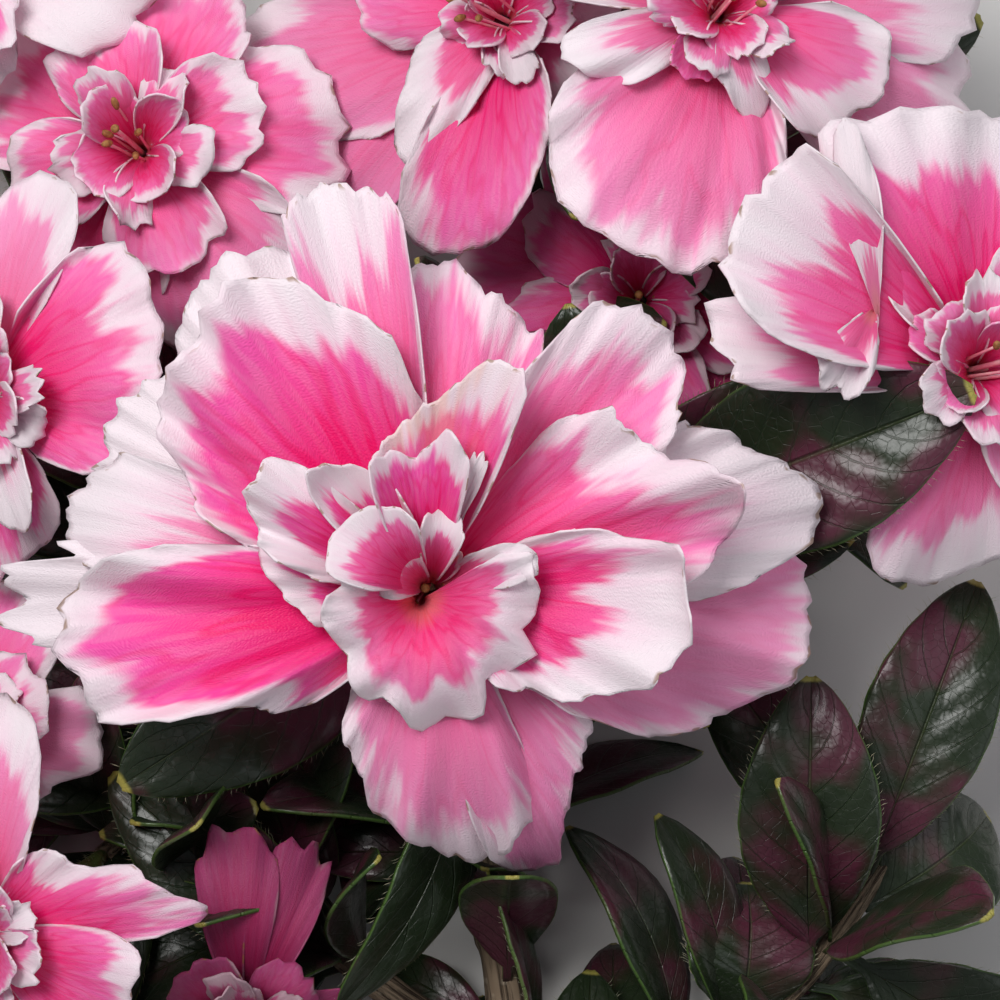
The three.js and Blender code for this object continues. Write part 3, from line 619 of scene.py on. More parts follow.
LEAVES = [
    leaf("shoot_leafy", 0.95, on_face(48.3, 11.1, -8), 19, 2),
    leaf("shoot_leafy", 0.75, on_face(27.2, 12.3, -17), 10, 2, 10),
    leaf("shoot_centre", 0.75, on_face(-39.3, -29.7, -14), 17, 3, -10),
    leaf("shoot_low_left", 0.8, on_face(-26.3, -32.7, -22), 13, 3),
    leaf("bough_left", 0.25, on_face(-42, -30, -28), 13, 5),
    leaf("shoot_centre", 0.5, on_face(-17, -54, -22), 12, 7, -50),
    leaf("stem", 0.38, on_face(-1.1, -39.6, -25), 10, 2, 80),
    leaf("bough_right", 0.75, on_face(33, -19, -20), 15, 3),
    leaf("bough_right", 0.95, on_face(52, -9, -30), 14, 3),
    leaf("bough_right", 0.9, on_face(54, -35, -36), 15, 3),
    leaf("bough_right", 0.55, on_face(27, -42, -30), 14, 4, 10),
    leaf("bough_right", 0.4, on_face(40, -54, -44), 15, 3),
    leaf("stem", 0.3, on_face(10, -52, -34), 13, 4),
    leaf("shoot_right", 0.15, on_face(38, -4, -27), 13, 3),
    leaf("shoot_top_left", 0.5, on_face(-58, 46, -52), 14, 3),
    leaf("shoot_top_right", 0.5, on_face(55, 55, -48), 15, 3),
    leaf("shoot_top", 0.3, (-8, 96, 16), 15, 4),
    leaf("shoot_top_right", 0.6, (38, 88, 16), 15, 4),
    leaf("bough_right", 0.8, (66, -50, 0), 15, 5),
    leaf("shoot_low_left", 0.5, (-62, -56, 0), 15, 4),
    leaf("bough_left", 0.95, (-70, 42, 0), 15, 4),
    leaf("shoot_right", 0.35, (46, 36, 0), 15, 5),
    leaf("bough_left", 0.7, (-76, 6, 0), 15, 4),
]


class Settings(bpy.types.PropertyGroup):
    """Sizes and colours of the spray."""

    petal_thick: bpy.props.FloatProperty(
        name="Petal thickness", description="Thickness of a petal", default=0.2 * MM,
        unit="LENGTH")
    ruffle: bpy.props.FloatProperty(
        name="Ruffle", description="How far petal margins wave", default=1.15 * MM, unit="LENGTH")
    leaf_thick: bpy.props.FloatProperty(
        name="Leaf thickness", description="Thickness of a leaf", default=0.4 * MM,
        unit="LENGTH")
    small_leaves: bpy.props.IntProperty(
        name="Small leaves", description="Small leaves under each bloom", default=9)
    hair_long: bpy.props.FloatProperty(
        name="Hair length", description="Length of the fine hairs", default=1.1 * MM,
        unit="LENGTH")
    petal_deep: bpy.props.FloatVectorProperty(
        name="Petal heart", description="Colour of a petal at its foot", subtype="COLOR",
        default=(0.88, 0.006, 0.16))
    petal_pink: bpy.props.FloatVectorProperty(
        name="Petal pink", description="Colour of the middle of a petal", subtype="COLOR",
        default=(0.95, 0.09, 0.43))
    petal_blush: bpy.props.FloatVectorProperty(
        name="Petal blush", description="Colour of the palest pink", subtype="COLOR",
        default=(0.92, 0.42, 0.64))
    petal_white: bpy.props.FloatVectorProperty(
        name="Petal margin", description="Colour of a petal's margin", subtype="COLOR",
        default=(0.9, 0.79, 0.84))
    leaf_green: bpy.props.FloatVectorProperty(
        name="Leaf green", description="Colour of the upper side of a leaf", subtype="COLOR",
        default=(0.014, 0.024, 0.01))
    leaf_bronze: bpy.props.FloatVectorProperty(
        name="Leaf bronze", description="Flush on the older leaves", subtype="COLOR",
        default=(0.1, 0.016, 0.04))


class Value:
    """A number or colour that a node gives, with sums that add nodes."""

    def __init__(self, shading, socket):
        self.shading = shading
        self.socket = socket

    def math(self, operation, *others):
        return self.shading.node("Math", {"operation": operation}, [self, *others])

    def __add__(self, other):
        return self.math("ADD", other)

    def __sub__(self, other):
        return self.math("SUBTRACT", other)

    def __mul__(self, other):
        return self.math("MULTIPLY", other)

    def __rsub__(self, other):
        return self.shading.node("Math", {"operation": "SUBTRACT"}, [other, self])

    __radd__ = __add__
    __rmul__ = __mul__

    def power(self, other):
        return self.math("POWER", other)

    def size(self):
        """How far the number is from 0."""
        return self.math("ABSOLUTE")

    def step(self, low, high):
        """Rises smoothly from 0 at low to 1 at high, or falls where low is the larger."""
        if low < high:
            return self.shading.node("MapRange", {"interpolation_type": "SMOOTHSTEP"},
                                     {"Value": self, "From Min": low, "From Max": high})
        return 1 - self.step(high, low)


class Shading:
    """A material and the nodes that make it."""

    def __init__(self, name, **finish):
        self.material = bpy.data.materials.new(name)
        self.material.use_nodes = True
        self.nodes = self.material.node_tree.nodes
        self.links = self.material.node_tree.links
        self.shader = self.nodes["Principled BSDF"]
        for socket, value in finish.items():
            self.shader.inputs[socket.replace("_", " ")].default_value = value

    def node(self, kind, settings=None, sockets=None, output=0):
        """Adds a node with these settings and with values or links at its sockets."""
        node = self.nodes.new(f"ShaderNode{kind}")
        for key, value in (settings or {}).items():
            setattr(node, key, value)
        named = sockets.items() if isinstance(sockets, dict) else enumerate(sockets or [])
        for key, value in named:
            if isinstance(value, Value):
                self.links.new(value.socket, node.inputs[key])
            else:
                node.inputs[key].default_value = value
        return Value(self, node.outputs[output])

    def parts(self, vector):
        """The three numbers of a vector or colour."""
        return [self.node("SeparateXYZ", None, [vector], k) for k in range(3)]

    def vector(self, x, y, z):
        """A vector of three numbers."""
        return self.node("CombineXYZ", None, [x, y, z])

    def pattern(self):
        """The place across and along the piece, each from 0 to 1."""
        return self.parts(self.node("UVMap", {"uv_map": "Pattern"}))

    def place(self):
        """The place in the spray, in metres."""
        return self.node("TexCoord", None, None, "Object")

    def noise(self, vector, scale, detail, rough=0.5, flat=False):
        """A cloudy pattern about 0.5, in space or on a plane."""
        return self.node("TexNoise", {"noise_dimensions": "2D" if flat else "3D"},
                         {"Vector": vector, "Scale": scale, "Detail": detail,
                          "Roughness": rough})

    def mix(self, share, first, second):
        """A colour between two others."""
        node = self.nodes.new("ShaderNodeMix")
        node.data_type = "RGBA"
        share_in, first_in, second_in = node.inputs[0], node.inputs[6], node.inputs[7]
        for socket, value in ((share_in, share), (first_in, first), (second_in, second)):
            if isinstance(value, Value):
                self.links.new(value.socket, socket)
            elif socket is share_in:
                socket.default_value = value
            else:
                socket.default_value = (*value, 1)
        return Value(self, node.outputs[2])

    def feed(self, **values):
        """Links values to the shader, and gives the finished material."""
        for socket, value in values.items():
            self.links.new(value.socket, self.shader.inputs[socket.replace("_", " ")])
        return self.material

    def bump(self, height, distance, strength):
        """Fine relief, with the distance in metres."""
        return self.node("Bump", None, {"Height": height, "Distance": distance,
                                        "Strength": strength})


def petal_material(name, looks, back):
    """Deep pink at the foot, streaked along the veins into a white margin with brown specks."""
    m = Shading(name, Roughness=0.5, Specular_IOR_Level=0.3)
    across, along, _ = m.pattern()
    reach, depth, number = m.parts(m.node("Attribute", {"attribute_name": "petal"}, None, 0))
    gold = m.node("Attribute", {"attribute_name": "petal"}, None, 3)
    number = number * 57

    def streaks(wide_scale, long_scale, detail):
        spot = m.vector(across * wide_scale + number, along * long_scale + number, 0)
        return m.noise(spot, 1, detail, flat=True)

    lobes, rays, threads = streaks(3.0, 1.2, 0), streaks(12, 1.6, 2), streaks(60, 5, 1)
    side = (across - 0.5).size() * 2
    # The pink runs out sooner along some veins than along others.
    edge = (reach - side.power(4) * 0.2 + (lobes - 0.5) * 0.42 + (rays - 0.5) * 0.42
            + (threads - 0.5) * 0.14)
    pink = (edge - along).step(-0.06, 0.09)
    flush = (edge - along).step(-0.34, 0.16) * 0.45
    deep = (1 - along.step(0.12, 1.0)) * (0.2 + depth * 0.85)
    vein = (rays - 0.5).size().step(0.07, 0.0)
    grain = (threads - 0.5).step(-0.12, 0.16)
    body = m.mix(depth, looks.petal_blush, looks.petal_pink)
    body = m.mix(grain * 0.22, body, looks.petal_blush)
    body = m.mix(deep + vein * 0.3 * depth, body, looks.petal_deep)
    paper = m.mix(flush, looks.petal_white, looks.petal_blush)
    colour = m.mix(pink * (0.6 if back else 1.0), paper, body)
    foot = along.step(0.16, 0.02) * 0.3 + gold * side.step(0.6, 0.1) * rays.step(0.35, 0.6)
    colour = m.mix(foot, colour, (0.88, 0.42, 0.13))
    spots = streaks(26, 26, 1).step(0.62, 0.7)
    # Below 0, gold darkens the whole petal toward dusky magenta: painted shade for blooms that lie in
    # shadow.
    colour = m.mix(0 - gold, colour, (0.2, 0.014, 0.06))
    colour = m.mix(spots * along.step(0.97, 0.995) * 0.7, colour, (0.3, 0.14, 0.04))
    skin = streaks(190, 140, 0)
    height = skin * 0.35 + threads * 0.45
    return m.feed(Base_Color=colour, Normal=m.bump(height, 0.0002, 0.7),
                  Roughness=skin * 0.16 + 0.44)


def leaf_material(name, looks):
    """Dark and glossy, with sunken veins, a bronze flush, a green rim and a yellow point."""
    m = Shading(name, Coat_Weight=0.22, Coat_Roughness=0.16, Specular_IOR_Level=0.36)
    across, along, _ = m.pattern()
    side = (across - 0.5).size() * 2
    patches = m.noise(m.place(), 90, 2)
    fine = m.noise(m.place(), 1100, 1)
    ladder = along * VEIN_PAIRS - side.power(VEIN_CURVE) * VEIN_SWEEP + (fine - 0.5) * 0.1
    ribs = (ladder.math("FRACT") - 0.5).size().step(0.05, 0.0)
    net = m.node("TexVoronoi", {"feature": "DISTANCE_TO_EDGE", "voronoi_dimensions": "2D"},
                 {"Vector": m.vector(across * 12, along * 34, 0), "Scale": 1.0})
    mesh = net.step(0.045, 0.0)
    middle = side.step(0.045, 0.0)
    green = m.mix(patches.step(0.35, 0.7), looks.leaf_green, (0.022, 0.036, 0.012))
    colour = m.mix(patches.step(0.46, 0.62) * 0.85, green, looks.leaf_bronze)
    colour = m.mix(mesh * 0.16 + ribs * 0.4, colour, (0.03, 0.05, 0.022))
    colour = m.mix(middle * 0.5, colour, (0.06, 0.08, 0.03))
    colour = m.mix(side.step(0.965, 0.995) * 0.7, colour, (0.08, 0.16, 0.03))
    colour = m.mix(along.step(0.982, 0.992), colour, (0.4, 0.36, 0.08))
    height = 0 - ribs * 0.45 - mesh * 0.12 - middle + fine * 0.4
    return m.feed(Base_Color=colour, Normal=m.bump(height, 0.0003, 0.9),
                  Roughness=patches * 0.15 + fine * 0.1 + 0.24)


def bark_material(name):
    """Grey-brown bark with fine lengthwise cracks and paler corky specks."""
    m = Shading(name, Specular_IOR_Level=0.25)
    place = m.place()
    across, along, _ = m.pattern()
    cracks = m.noise(m.vector(across * 26, along * 9, 0), 1, 4, 0.62)
    patches = m.noise(place, 160, 3)
    specks = m.node("TexVoronoi", None, {"Vector": place, "Scale": 420.0}).step(0.22, 0.1)
    colour = m.mix(patches, (0.13, 0.085, 0.05), (0.26, 0.2, 0.14))
    colour = m.mix(cracks.step(0.47, 0.4), colour, (0.045, 0.028, 0.018))
    colour = m.mix(specks * 0.5, colour, (0.4, 0.33, 0.25))
    height = cracks.step(0.38, 0.55) * 0.8 + specks * 0.3 + patches * 0.3
    return m.feed(Base_Color=colour, Normal=m.bump(height, 0.0005, 0.9),
                  Roughness=patches * 0.15 + 0.72)


def cut_material(name):
    """The pale cut face of the stem, mottled with rings."""
    m = Shading(name, Roughness=0.7)
    across, along, _ = m.pattern()
    place = m.place()
    rings = (along * 46 + m.noise(place, 900, 2) * 2).math("SINE") * 0.5 + 0.5
    colour = m.mix(rings * 0.5, (0.6, 0.47, 0.27), (0.45, 0.31, 0.15))
    colour = m.mix(m.noise(place, 2600, 2) * 0.4, colour, (0.66, 0.56, 0.36))
    return m.feed(Base_Color=colour, Normal=m.bump(rings, 0.0001, 0.5))


def stalk_material(name):
    """Young green flushed with red, dull with fine hairs."""
    m = Shading(name, Roughness=0.6, Subsurface_Weight=0.1, Subsurface_Scale=0.001)
    place = m.place()
    flush = m.noise(place, 260, 3)
    colour = m.mix(flush.step(0.35, 0.7), (0.2, 0.27, 0.07), (0.33, 0.12, 0.08))
    return m.feed(Base_Color=colour, Normal=m.bump(m.noise(place, 2400, 2), 0.0002, 0.8))


def part_material(name, first, second, scale, rough):
    """A fine mottled finish between two colours."""
    m = Shading(name, Roughness=rough)
    place = m.place()
    grain = m.noise(place, scale, 2)
    return m.feed(Base_Color=m.mix(grain.step(0.3, 0.7), first, second),
                  Normal=m.bump(grain, 0.0001, 0.5))


def finish(kind, looks):
    """The material of a kind of surface, made the first time that it is asked for."""
    made = bpy.data.materials.get(kind)
    if made:
        return made
    return {
        "petal_front": lambda: petal_material("petal_front", looks, False),
        "petal_back": lambda: petal_material("petal_back", looks, True),
        "leaf_blade": lambda: leaf_material("leaf_blade", looks),
        "bark_wood": lambda: bark_material("bark_wood"),
        "cut_wood": lambda: cut_material("cut_wood"),
        "young_stalk": lambda: stalk_material("young_stalk"),
        "filament": lambda: part_material("filament", (0.86, 0.3, 0.4), (0.9, 0.55, 0.55), 700, 0.5),
        "anther": lambda: part_material("anther", (0.24, 0.1, 0.03), (0.42, 0.2, 0.06), 2400, 0.7),
        "hair": lambda: part_material("hair", (0.42, 0.45, 0.3), (0.6, 0.52, 0.36), 900, 0.5),
    }[kind]()


def wobble(rng, at, waves, count=3):
    """A smooth random line of about 1 high, with this many waves between 0 and 1."""
    total = 0
    for _ in range(count):
        pace = waves * rng.uniform(0.6, 1.5)
        total = total + rng.uniform(0.5, 1) * np.sin(2 * np.pi * (at * pace + rng.random()))
    return total / math.sqrt(count)


def only(piece):
    """Selects one piece and nothing else."""
    bpy.ops.object.select_all(action="DESELECT")
    piece.select_set(True)
    bpy.context.view_layer.objects.active = piece


def sheet(places, cell=(0, 0, 1, 1)):
    """A grid of points in millimetres as an open sheet, its rows running along the piece."""
    rows, columns = places.shape[:2]
    bpy.ops.object.select_all(action="DESELECT")
    bpy.ops.mesh.primitive_grid_add(x_subdivisions=columns - 1, y_subdivisions=rows - 1)
    piece = bpy.context.active_object
    mesh = piece.data
    mesh.vertices.foreach_set("co", ((places + SHIFT) * MM).reshape(-1).astype(np.float32))
    mesh.uv_layers[0].name = "Pattern"
    uv = np.empty(2 * len(mesh.loops), np.float32)
    mesh.uv_layers[0].data.foreach_get("uv", uv)
    x, y, w, h = cell
    margin = 0.04
    inside = uv.reshape(-1, 2) * (1 - 2 * margin) + margin
    bake = mesh.uv_layers.new(name="OFBake")
    bake.data.foreach_set("uv", (inside * (w, h) + (x, y)).reshape(-1).astype(np.float32))
    return piece


def stamped(piece, name, values):
    """Gives every point of a piece the same four numbers."""
    layer = piece.data.attributes.new(name, "FLOAT_COLOR", "POINT")
    colours = np.tile(np.array(values, np.float32), len(piece.data.vertices))
    layer.data.foreach_set("color", colours)


def joined(pieces, name):
    """Makes one named piece of several."""
    bpy.ops.object.select_all(action="DESELECT")
    for piece in pieces:
        piece.select_set(True)
    bpy.context.view_layer.objects.active = pieces[0]
    if len(pieces) > 1:
        bpy.ops.object.join()
    piece = bpy.context.active_object
    piece.name = name
    piece.data.name = name
    return piece


def placed(piece, nodes, materials):
    """Gives the piece its finish and body, and hides the parts that it stands for."""
    only(piece)
    bpy.ops.object.transform_apply(location=True, rotation=True, scale=True)
    bpy.ops.object.shade_smooth()
    piece.data.materials.clear()
    for material in materials:
        piece.data.materials.append(material)
    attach(piece, BODY)
    if nodes:
        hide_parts(*nodes)
    return piece


def thickened(piece, thick):
    """Gives open sheets their thickness, and their backs a place of their own on the bake."""
    only(piece)
    wall = piece.modifiers.new("Wall", "SOLIDIFY")
    wall.thickness = thick
    wall.offset = -1
    wall.use_rim = True
    faces = len(piece.data.polygons)
    bpy.ops.object.modifier_apply(modifier=wall.name)
    mesh = piece.data
    behind = np.arange(len(mesh.polygons)) // faces == 1
    starts = np.empty(len(mesh.polygons), np.int32)
    totals = np.empty(len(mesh.polygons), np.int32)
    mesh.polygons.foreach_get("loop_start", starts)
    mesh.polygons.foreach_get("loop_total", totals)
    loops = np.repeat(behind, totals)
    uv = np.empty(2 * len(mesh.loops), np.float32)
    mesh.uv_layers["OFBake"].data.foreach_get("uv", uv)
    uv = uv.reshape(-1, 2)
    uv[loops, 0] += 0.5
    mesh.uv_layers["OFBake"].data.foreach_set("uv", uv.reshape(-1))
    return behind


def cells(count, half=True):
    """Places for this many sheets side by side on the bake's square, or on its left half."""
    side = math.ceil(math.sqrt(count))
    breadth = (0.5 if half else 1) / side
    return [(i % side * breadth, i // side / side, breadth, 1 / side) for i in range(count)]


def petal_rim(p, rng, side, half):
    """How far a petal reaches at each place across it, with its notches and teeth."""
    rim = p.reach * (1 - np.abs(side) ** PETAL_FULL) ** 0.5
    if p.rim:
        rim = np.interp(p.turn + side * p.spread, *zip(*p.rim))
    for at, size, width in p.notches:
        rim = rim * (1 - size * np.exp(-((side - at) / width) ** 2))
    teeth = min(1, half / 18)
    rim = rim * (1 + (0 if p.rim else 0.055) * wobble(rng, side, 2.6)
                 + 0.015 * wobble(rng, side, 5 * teeth) + 0.008 * wobble(rng, side, 12 * teeth))
    return np.maximum(rim, 0.12 * p.reach)


def rolled(x, y, z, rolls):
    """Points bent up or down past a line, each roll with its direction, distance and radius."""
    for toward, distance, radius, most in rolls:
        way = math.radians(toward)
        size = abs(radius)
        past = np.maximum(x * math.cos(way) + y * math.sin(way) - distance, 0)
        bent = np.minimum(past / size, math.radians(most))
        straight = past - bent * size
        back = size * np.sin(bent) + straight * np.cos(bent) - past
        x, y = x + math.cos(way) * back, y + math.sin(way) * back
        z = z + math.copysign(1, radius) * (size * (1 - np.cos(bent)) + straight * np.sin(bent))
    return x, y, z


def petal_places(p, rng, ruffle, across, along):
    """A petal's points in its bloom's plane: x toward its tip, y to its left and z out."""
    side = -PETAL_SIDE * np.sin(np.linspace(-1, 1, across) * np.pi / 2)
    u, v = np.meshgrid(side, np.linspace(0, 1, along) ** 0.8)
    half = p.reach * math.radians(p.spread)
    far = PETAL_ROOT + v * (petal_rim(p, rng, side, half) - PETAL_ROOT)
    angle = u * math.radians(p.spread)
    x, y = far * np.cos(angle), far * np.sin(angle)
    a = far / p.reach
    z = p.seat + (p.lift - p.seat) * a ** 2 + 4 * p.arch * a * (1 - a)
    z = z + p.cup * (u ** 2) * a + p.crease * np.abs(u) * a
    waves = p.waves * min(1.2, 0.1 + half / 24)
    sway = u + 0.3 * v
    z = z + ruffle * p.ruffle * (0.4 + 0.036 * min(p.reach, 1.6 * half)) * (
        1.15 * v ** 2 * wobble(rng, sway, 0.45 * waves) + 0.75 * v ** 4 * wobble(rng, sway, waves)
        + 0.35 * v ** 7 * wobble(rng, u, 2.6 * waves) + 0.08 * v ** 10 * wobble(rng, u, 5 * waves))
    z = z + 0.03 * np.sin(np.pi * v) * wobble(rng, u, 4 * waves)
    # A petal whose rolls aren't given has one curled corner, dealt at random.
    curl = (rng.uniform(-40, 40), rng.uniform(0.7, 0.85) * p.reach,
            rng.choice((-1, 1)) * rng.uniform(0.18, 0.4) * p.reach, rng.uniform(25, 60))
    x, y, z = rolled(x, y, z, p.rolls or (curl,))
    if p.twist:
        middle = z[:, across // 2][:, None]
        wring = math.radians(p.twist) * a ** 1.5
        up = z - middle
        y, z = y * np.cos(wring) - up * np.sin(wring), middle + y * np.sin(wring) + up * np.cos(wring)
    z = z - p.dip * THROAT_DEEP * np.maximum(0, 1 - far / THROAT_RADIUS) ** 2
    return np.stack([x + p.off[0], y + p.off[1], z], axis=2)


def on_bloom(flower, places, turn):
    """Points of a petal, placed on its bloom in the given direction in degrees."""
    way = math.radians(turn)
    x = places[..., 0] * math.cos(way) - places[..., 1] * math.sin(way)
    y = places[..., 0] * math.sin(way) + places[..., 1] * math.cos(way)
    slope = -math.tan(flower.tilt) * (x * math.cos(flower.toward) + y * math.sin(flower.toward))
    local = np.stack([x, y, places[..., 2] + slope], axis=2) + flower.throat
    return local @ FACE + (0, 0, FACE_HEIGHT)


def ring_places(middle, axis, radii, heights, sides, lobes=None):
    """Points of a closed band about an axis, with a radius and a height for each row."""
    first, second = crosswise(axis)
    turn = np.linspace(0, 2 * np.pi, sides + 1)
    shape = 1 if lobes is None else lobes(turn)
    rows = []
    for radius, height in zip(radii, heights):
        circle = np.outer(np.cos(turn) * shape, first) + np.outer(np.sin(turn) * shape, second)
        rows.append(middle + axis * height + circle * radius)
    return np.array(rows)


def petals_of(flower, whorls, name, nodes, settings, rng, with_tube):
    """The petals of some whorls of a bloom, joined, with the tube that they spring from."""
    fine = flower.name == "centre"
    petals = [p for each in whorls for p in each]
    spots = cells(len(petals) + with_tube)
    made = []
    strength = 1 if fine else OUTER_DEPTH
    for number, p in enumerate(petals):
        big = p.reach > BIG_PETAL
        across, along = FINE_STEPS if fine and big else BIG_STEPS if big else SMALL_STEPS
        places = petal_places(p, rng, settings.ruffle / MM, across, along)
        piece = sheet(laid_down(on_bloom(flower, places, p.turn)), spots[number])
        stamped(piece, "petal", (p.pink + rng.uniform(-0.03, 0.03), p.depth * strength,
                                 rng.random(), p.gold))
        made.append(piece)
    if with_tube:
        heights = np.linspace(0.4, TUBE_LONG - 1.5, 12)
        radii = np.interp(heights, np.linspace(0, TUBE_LONG, len(TUBE_RADII)), TUBE_RADII)
        foot = on_face(*flower.throat) - flower.out * TUBE_LONG
        band = ring_places(foot, flower.out, radii, heights, 30,
                           lambda turn: 1 + 0.05 * np.cos(5 * turn))
        piece = sheet(band, spots[-1])
        stamped(piece, "petal", (0.55, 0.3, 0.5, 0))
        made.append(piece)
    piece = joined(made, name)
    behind = thickened(piece, settings.petal_thick)
    placed(piece, nodes, [finish("petal_front", settings), finish("petal_back", settings)])
    piece.data.polygons.foreach_set("material_index", behind.astype(np.int32))


def rod_places(curve, radius, rows, sides, relief=None):
    """Points of a rod along a curve, with its ends drawn in to close it."""
    shares = np.linspace(0, 1, rows)
    middle = np.array([curve.at(s) for s in shares])
    along = np.gradient(middle, axis=0)
    along /= np.linalg.norm(along, axis=1)[:, None]
    side = unit(np.cross(along[0], (0.2, 0.3, 0.93)))
    turn = np.linspace(0, 2 * np.pi, sides + 1)
    grid = []
    for i, s in enumerate(shares):
        side = unit(side - along[i] * np.dot(side, along[i]))
        other = np.cross(along[i], side)
        r = radius(s) * (relief(s, turn) if relief else 1)
        grid.append(middle[i] + np.outer(np.cos(turn) * r, side) + np.outer(np.sin(turn) * r, other))
    grid = np.array(grid)
    first = [middle[0] + (grid[0] - middle[0]) * k for k in (0, 0.5)]
    last = [middle[-1] + (grid[-1] - middle[-1]) * k for k in (0.5, 0)]
    return np.concatenate([first, grid, last])


def welded(piece):
    """Closes the seams and poles of a piece that was rolled up from sheets."""
    only(piece)
    bpy.ops.object.mode_set(mode="EDIT")
    bpy.ops.mesh.select_all(action="SELECT")
    bpy.ops.mesh.remove_doubles(threshold=0.002 * MM)
    bpy.ops.mesh.dissolve_degenerate(threshold=0.0005 * MM)
    bpy.ops.mesh.normals_make_consistent(inside=False)
    bpy.ops.object.mode_set(mode="OBJECT")
    return piece


def above_floor(places):
    """Keeps points off the surface that the spray lies on."""
    places[..., 2] = np.maximum(places[..., 2], FLOOR_CLEAR)
    return places


def laid_down(places):
    """Lets what hangs low lie down on the surface, each part still over the one below it."""
    room = LAID_FROM - FLOOR_CLEAR
    low = np.minimum(places[..., 2], LAID_FROM)
    laid = FLOOR_CLEAR + room * np.exp((low - LAID_FROM) / room)
    places[..., 2] = np.where(places[..., 2] < LAID_FROM, laid, places[..., 2])
    return places


def leaf_line(spec):
    """A leaf's root, the line to its tip, and the directions across it and out of it."""
    root = spec.carrier.curve.at(spec.share)
    tangent = spec.carrier.curve.along(spec.share)
    away = spec.tip - root
    away = unit(away - tangent * np.dot(away, tangent))
    root = root + away * (radius_at(spec.carrier, spec.share) - 0.2)
    line = spec.tip - root
    along = unit(line)
    side = turned(unit(np.cross(FACE[2], along)), along, math.radians(spec.roll))
    return root, line, side, np.cross(along, side)


def leaf_width(share):
    """The share of its full width that a leaf has at a share of its length."""
    along = np.clip((share - LEAF_STALK) / (1 - LEAF_STALK), 0, 1)
    return LEAF_STALK_WIDE + (1 - LEAF_STALK_WIDE) * np.sin(np.pi * along) ** LEAF_FULLNESS


def blade_places(root, line, side, face, width, arch, rng, across, along):
    """The points of a leaf blade: folded at its midrib, quilted between its veins."""
    u, s = np.meshgrid(np.linspace(-1, 1, across), np.linspace(0, 1, along) ** 1.1)
    share = leaf_width(s) * np.where(s > LEAF_POINT, 1 - (s - LEAF_POINT) * 12, 1)
    half = width / 2 * share
    fold = LEAF_FOLD * width * np.sqrt(u ** 2 + 0.01) * share
    ladder = s * VEIN_PAIRS - np.abs(u) ** VEIN_CURVE * VEIN_SWEEP
    quilt = LEAF_QUILT * width * share * np.cos(2 * np.pi * ladder) * np.clip(np.abs(u) * 4, 0, 1)
    droop = -0.07 * width * share * u ** 4 - 0.05 * width * np.clip(s - 0.75, 0, 1) * 4
    wave = 0.02 * width * u ** 2 * wobble(rng, s, 2.2) * share
    height = 4 * arch * s * (1 - s) + fold + quilt + droop + wave
    bend = 0.03 * width * np.sin(np.pi * s) * rng.uniform(-1, 1)
    places = (root + s[..., None] * line + (u * half + bend)[..., None] * side
              + height[..., None] * face)
    return above_floor(places)


def large_blade(index, spec):
    """The points of a large leaf, and the random numbers that come after its own."""
    rng = dice("leaves", index)
    return blade_places(*leaf_line(spec), spec.width, spec.arch, rng, *BLADE_STEPS), rng


def bark_relief(rng, long):
    """How far the bark of a limb this long stands out: ridges, and the scars of old leaves."""
    scars = [(rng.random(), rng.uniform(0, 2 * math.pi)) for _ in range(int(long / SCAR_SPACE) + 2)]
    phase = rng.uniform(0, 6, 3)

    def relief(s, turn):
        ridge = 1 + 0.035 * np.sin(5 * turn + phase[0] + 9 * s)
        ridge = ridge + 0.03 * np.sin(11 * turn + phase[1] - 23 * s)
        ridge = ridge + 0.025 * np.sin(3 * turn + s * long * 0.9 + phase[2])
        for at, where in scars:
            near = np.exp(-((s - at) * long / SCAR_LONG) ** 2 + 3 * (np.cos(turn - where) - 1))
            ridge = ridge + 0.22 * near
        return ridge

    return relief


def hair_roots(rng, count, span, lean, spot):
    """Roots and directions of hairs that stand round an axis and lean along it."""
    roots, ways = [], []
    for _ in range(count):
        middle, along, radius = spot(rng.uniform(*span))
        way = unit(np.cross(along, rng.normal(size=3)))
        roots.append(middle + way * radius)
        ways.append(unit(way + along * rng.uniform(*lean)))
    return roots, ways


def tufts(rng, roots, ways, long):
    """Fine bent hairs as closed slivers, one from each root."""
    points, faces = [], []
    for root, way in zip(roots, ways):
        if root[2] < long:
            continue
        first, second = crosswise(way, rng.normal(size=3))
        size = long * rng.uniform(0.6, 1.1)
        bent = root + way * size * 0.55 + first * size * 0.08
        tip = root + way * size + first * size * 0.3
        start = len(points)
        for middle, radius in ((root - way * 0.05, HAIR_RADIUS), (bent, HAIR_RADIUS * 0.7)):
            for k in range(3):
                turn = 2 * math.pi * k / 3
                points.append(middle + radius * (first * math.cos(turn) + second * math.sin(turn)))
        points.append(tip)
        faces.append((start + 2, start + 1, start))
        for k in range(3):
            nxt = (k + 1) % 3
            faces.append((start + k, start + nxt, start + 3 + nxt, start + 3 + k))
            faces.append((start + 3 + k, start + 3 + nxt, start + 6))
    return points, faces


def tuft_piece(name, groups):
    """One piece of all the hairs, with a map that gives each of them a spot of its own."""
    points, faces = [], []
    for some_points, some_faces in groups:
        start = len(points)
        points += some_points
        faces += [tuple(start + k for k in face) for face in some_faces]
    mesh = bpy.data.meshes.new(name)
    mesh.from_pydata(((np.array(points) + SHIFT) * MM).tolist(), [], faces)
    piece = bpy.data.objects.new(name, mesh)
    bpy.context.scene.collection.objects.link(piece)
    each = 7
    side = math.ceil(math.sqrt(len(points) / each))
    layer = mesh.uv_layers.new(name="OFBake")
    corners = np.empty(len(mesh.loops), np.int32)
    mesh.loops.foreach_get("vertex_index", corners)
    tuft, corner = corners // each, corners % each
    x = (tuft % side + 0.2 + 0.6 * (corner % 3) / 2) / side
    y = (tuft // side + 0.2 + 0.3 * (corner // 3)) / side
    layer.data.foreach_set("uv", np.stack([x, y], axis=1).reshape(-1).astype(np.float32))
    return piece


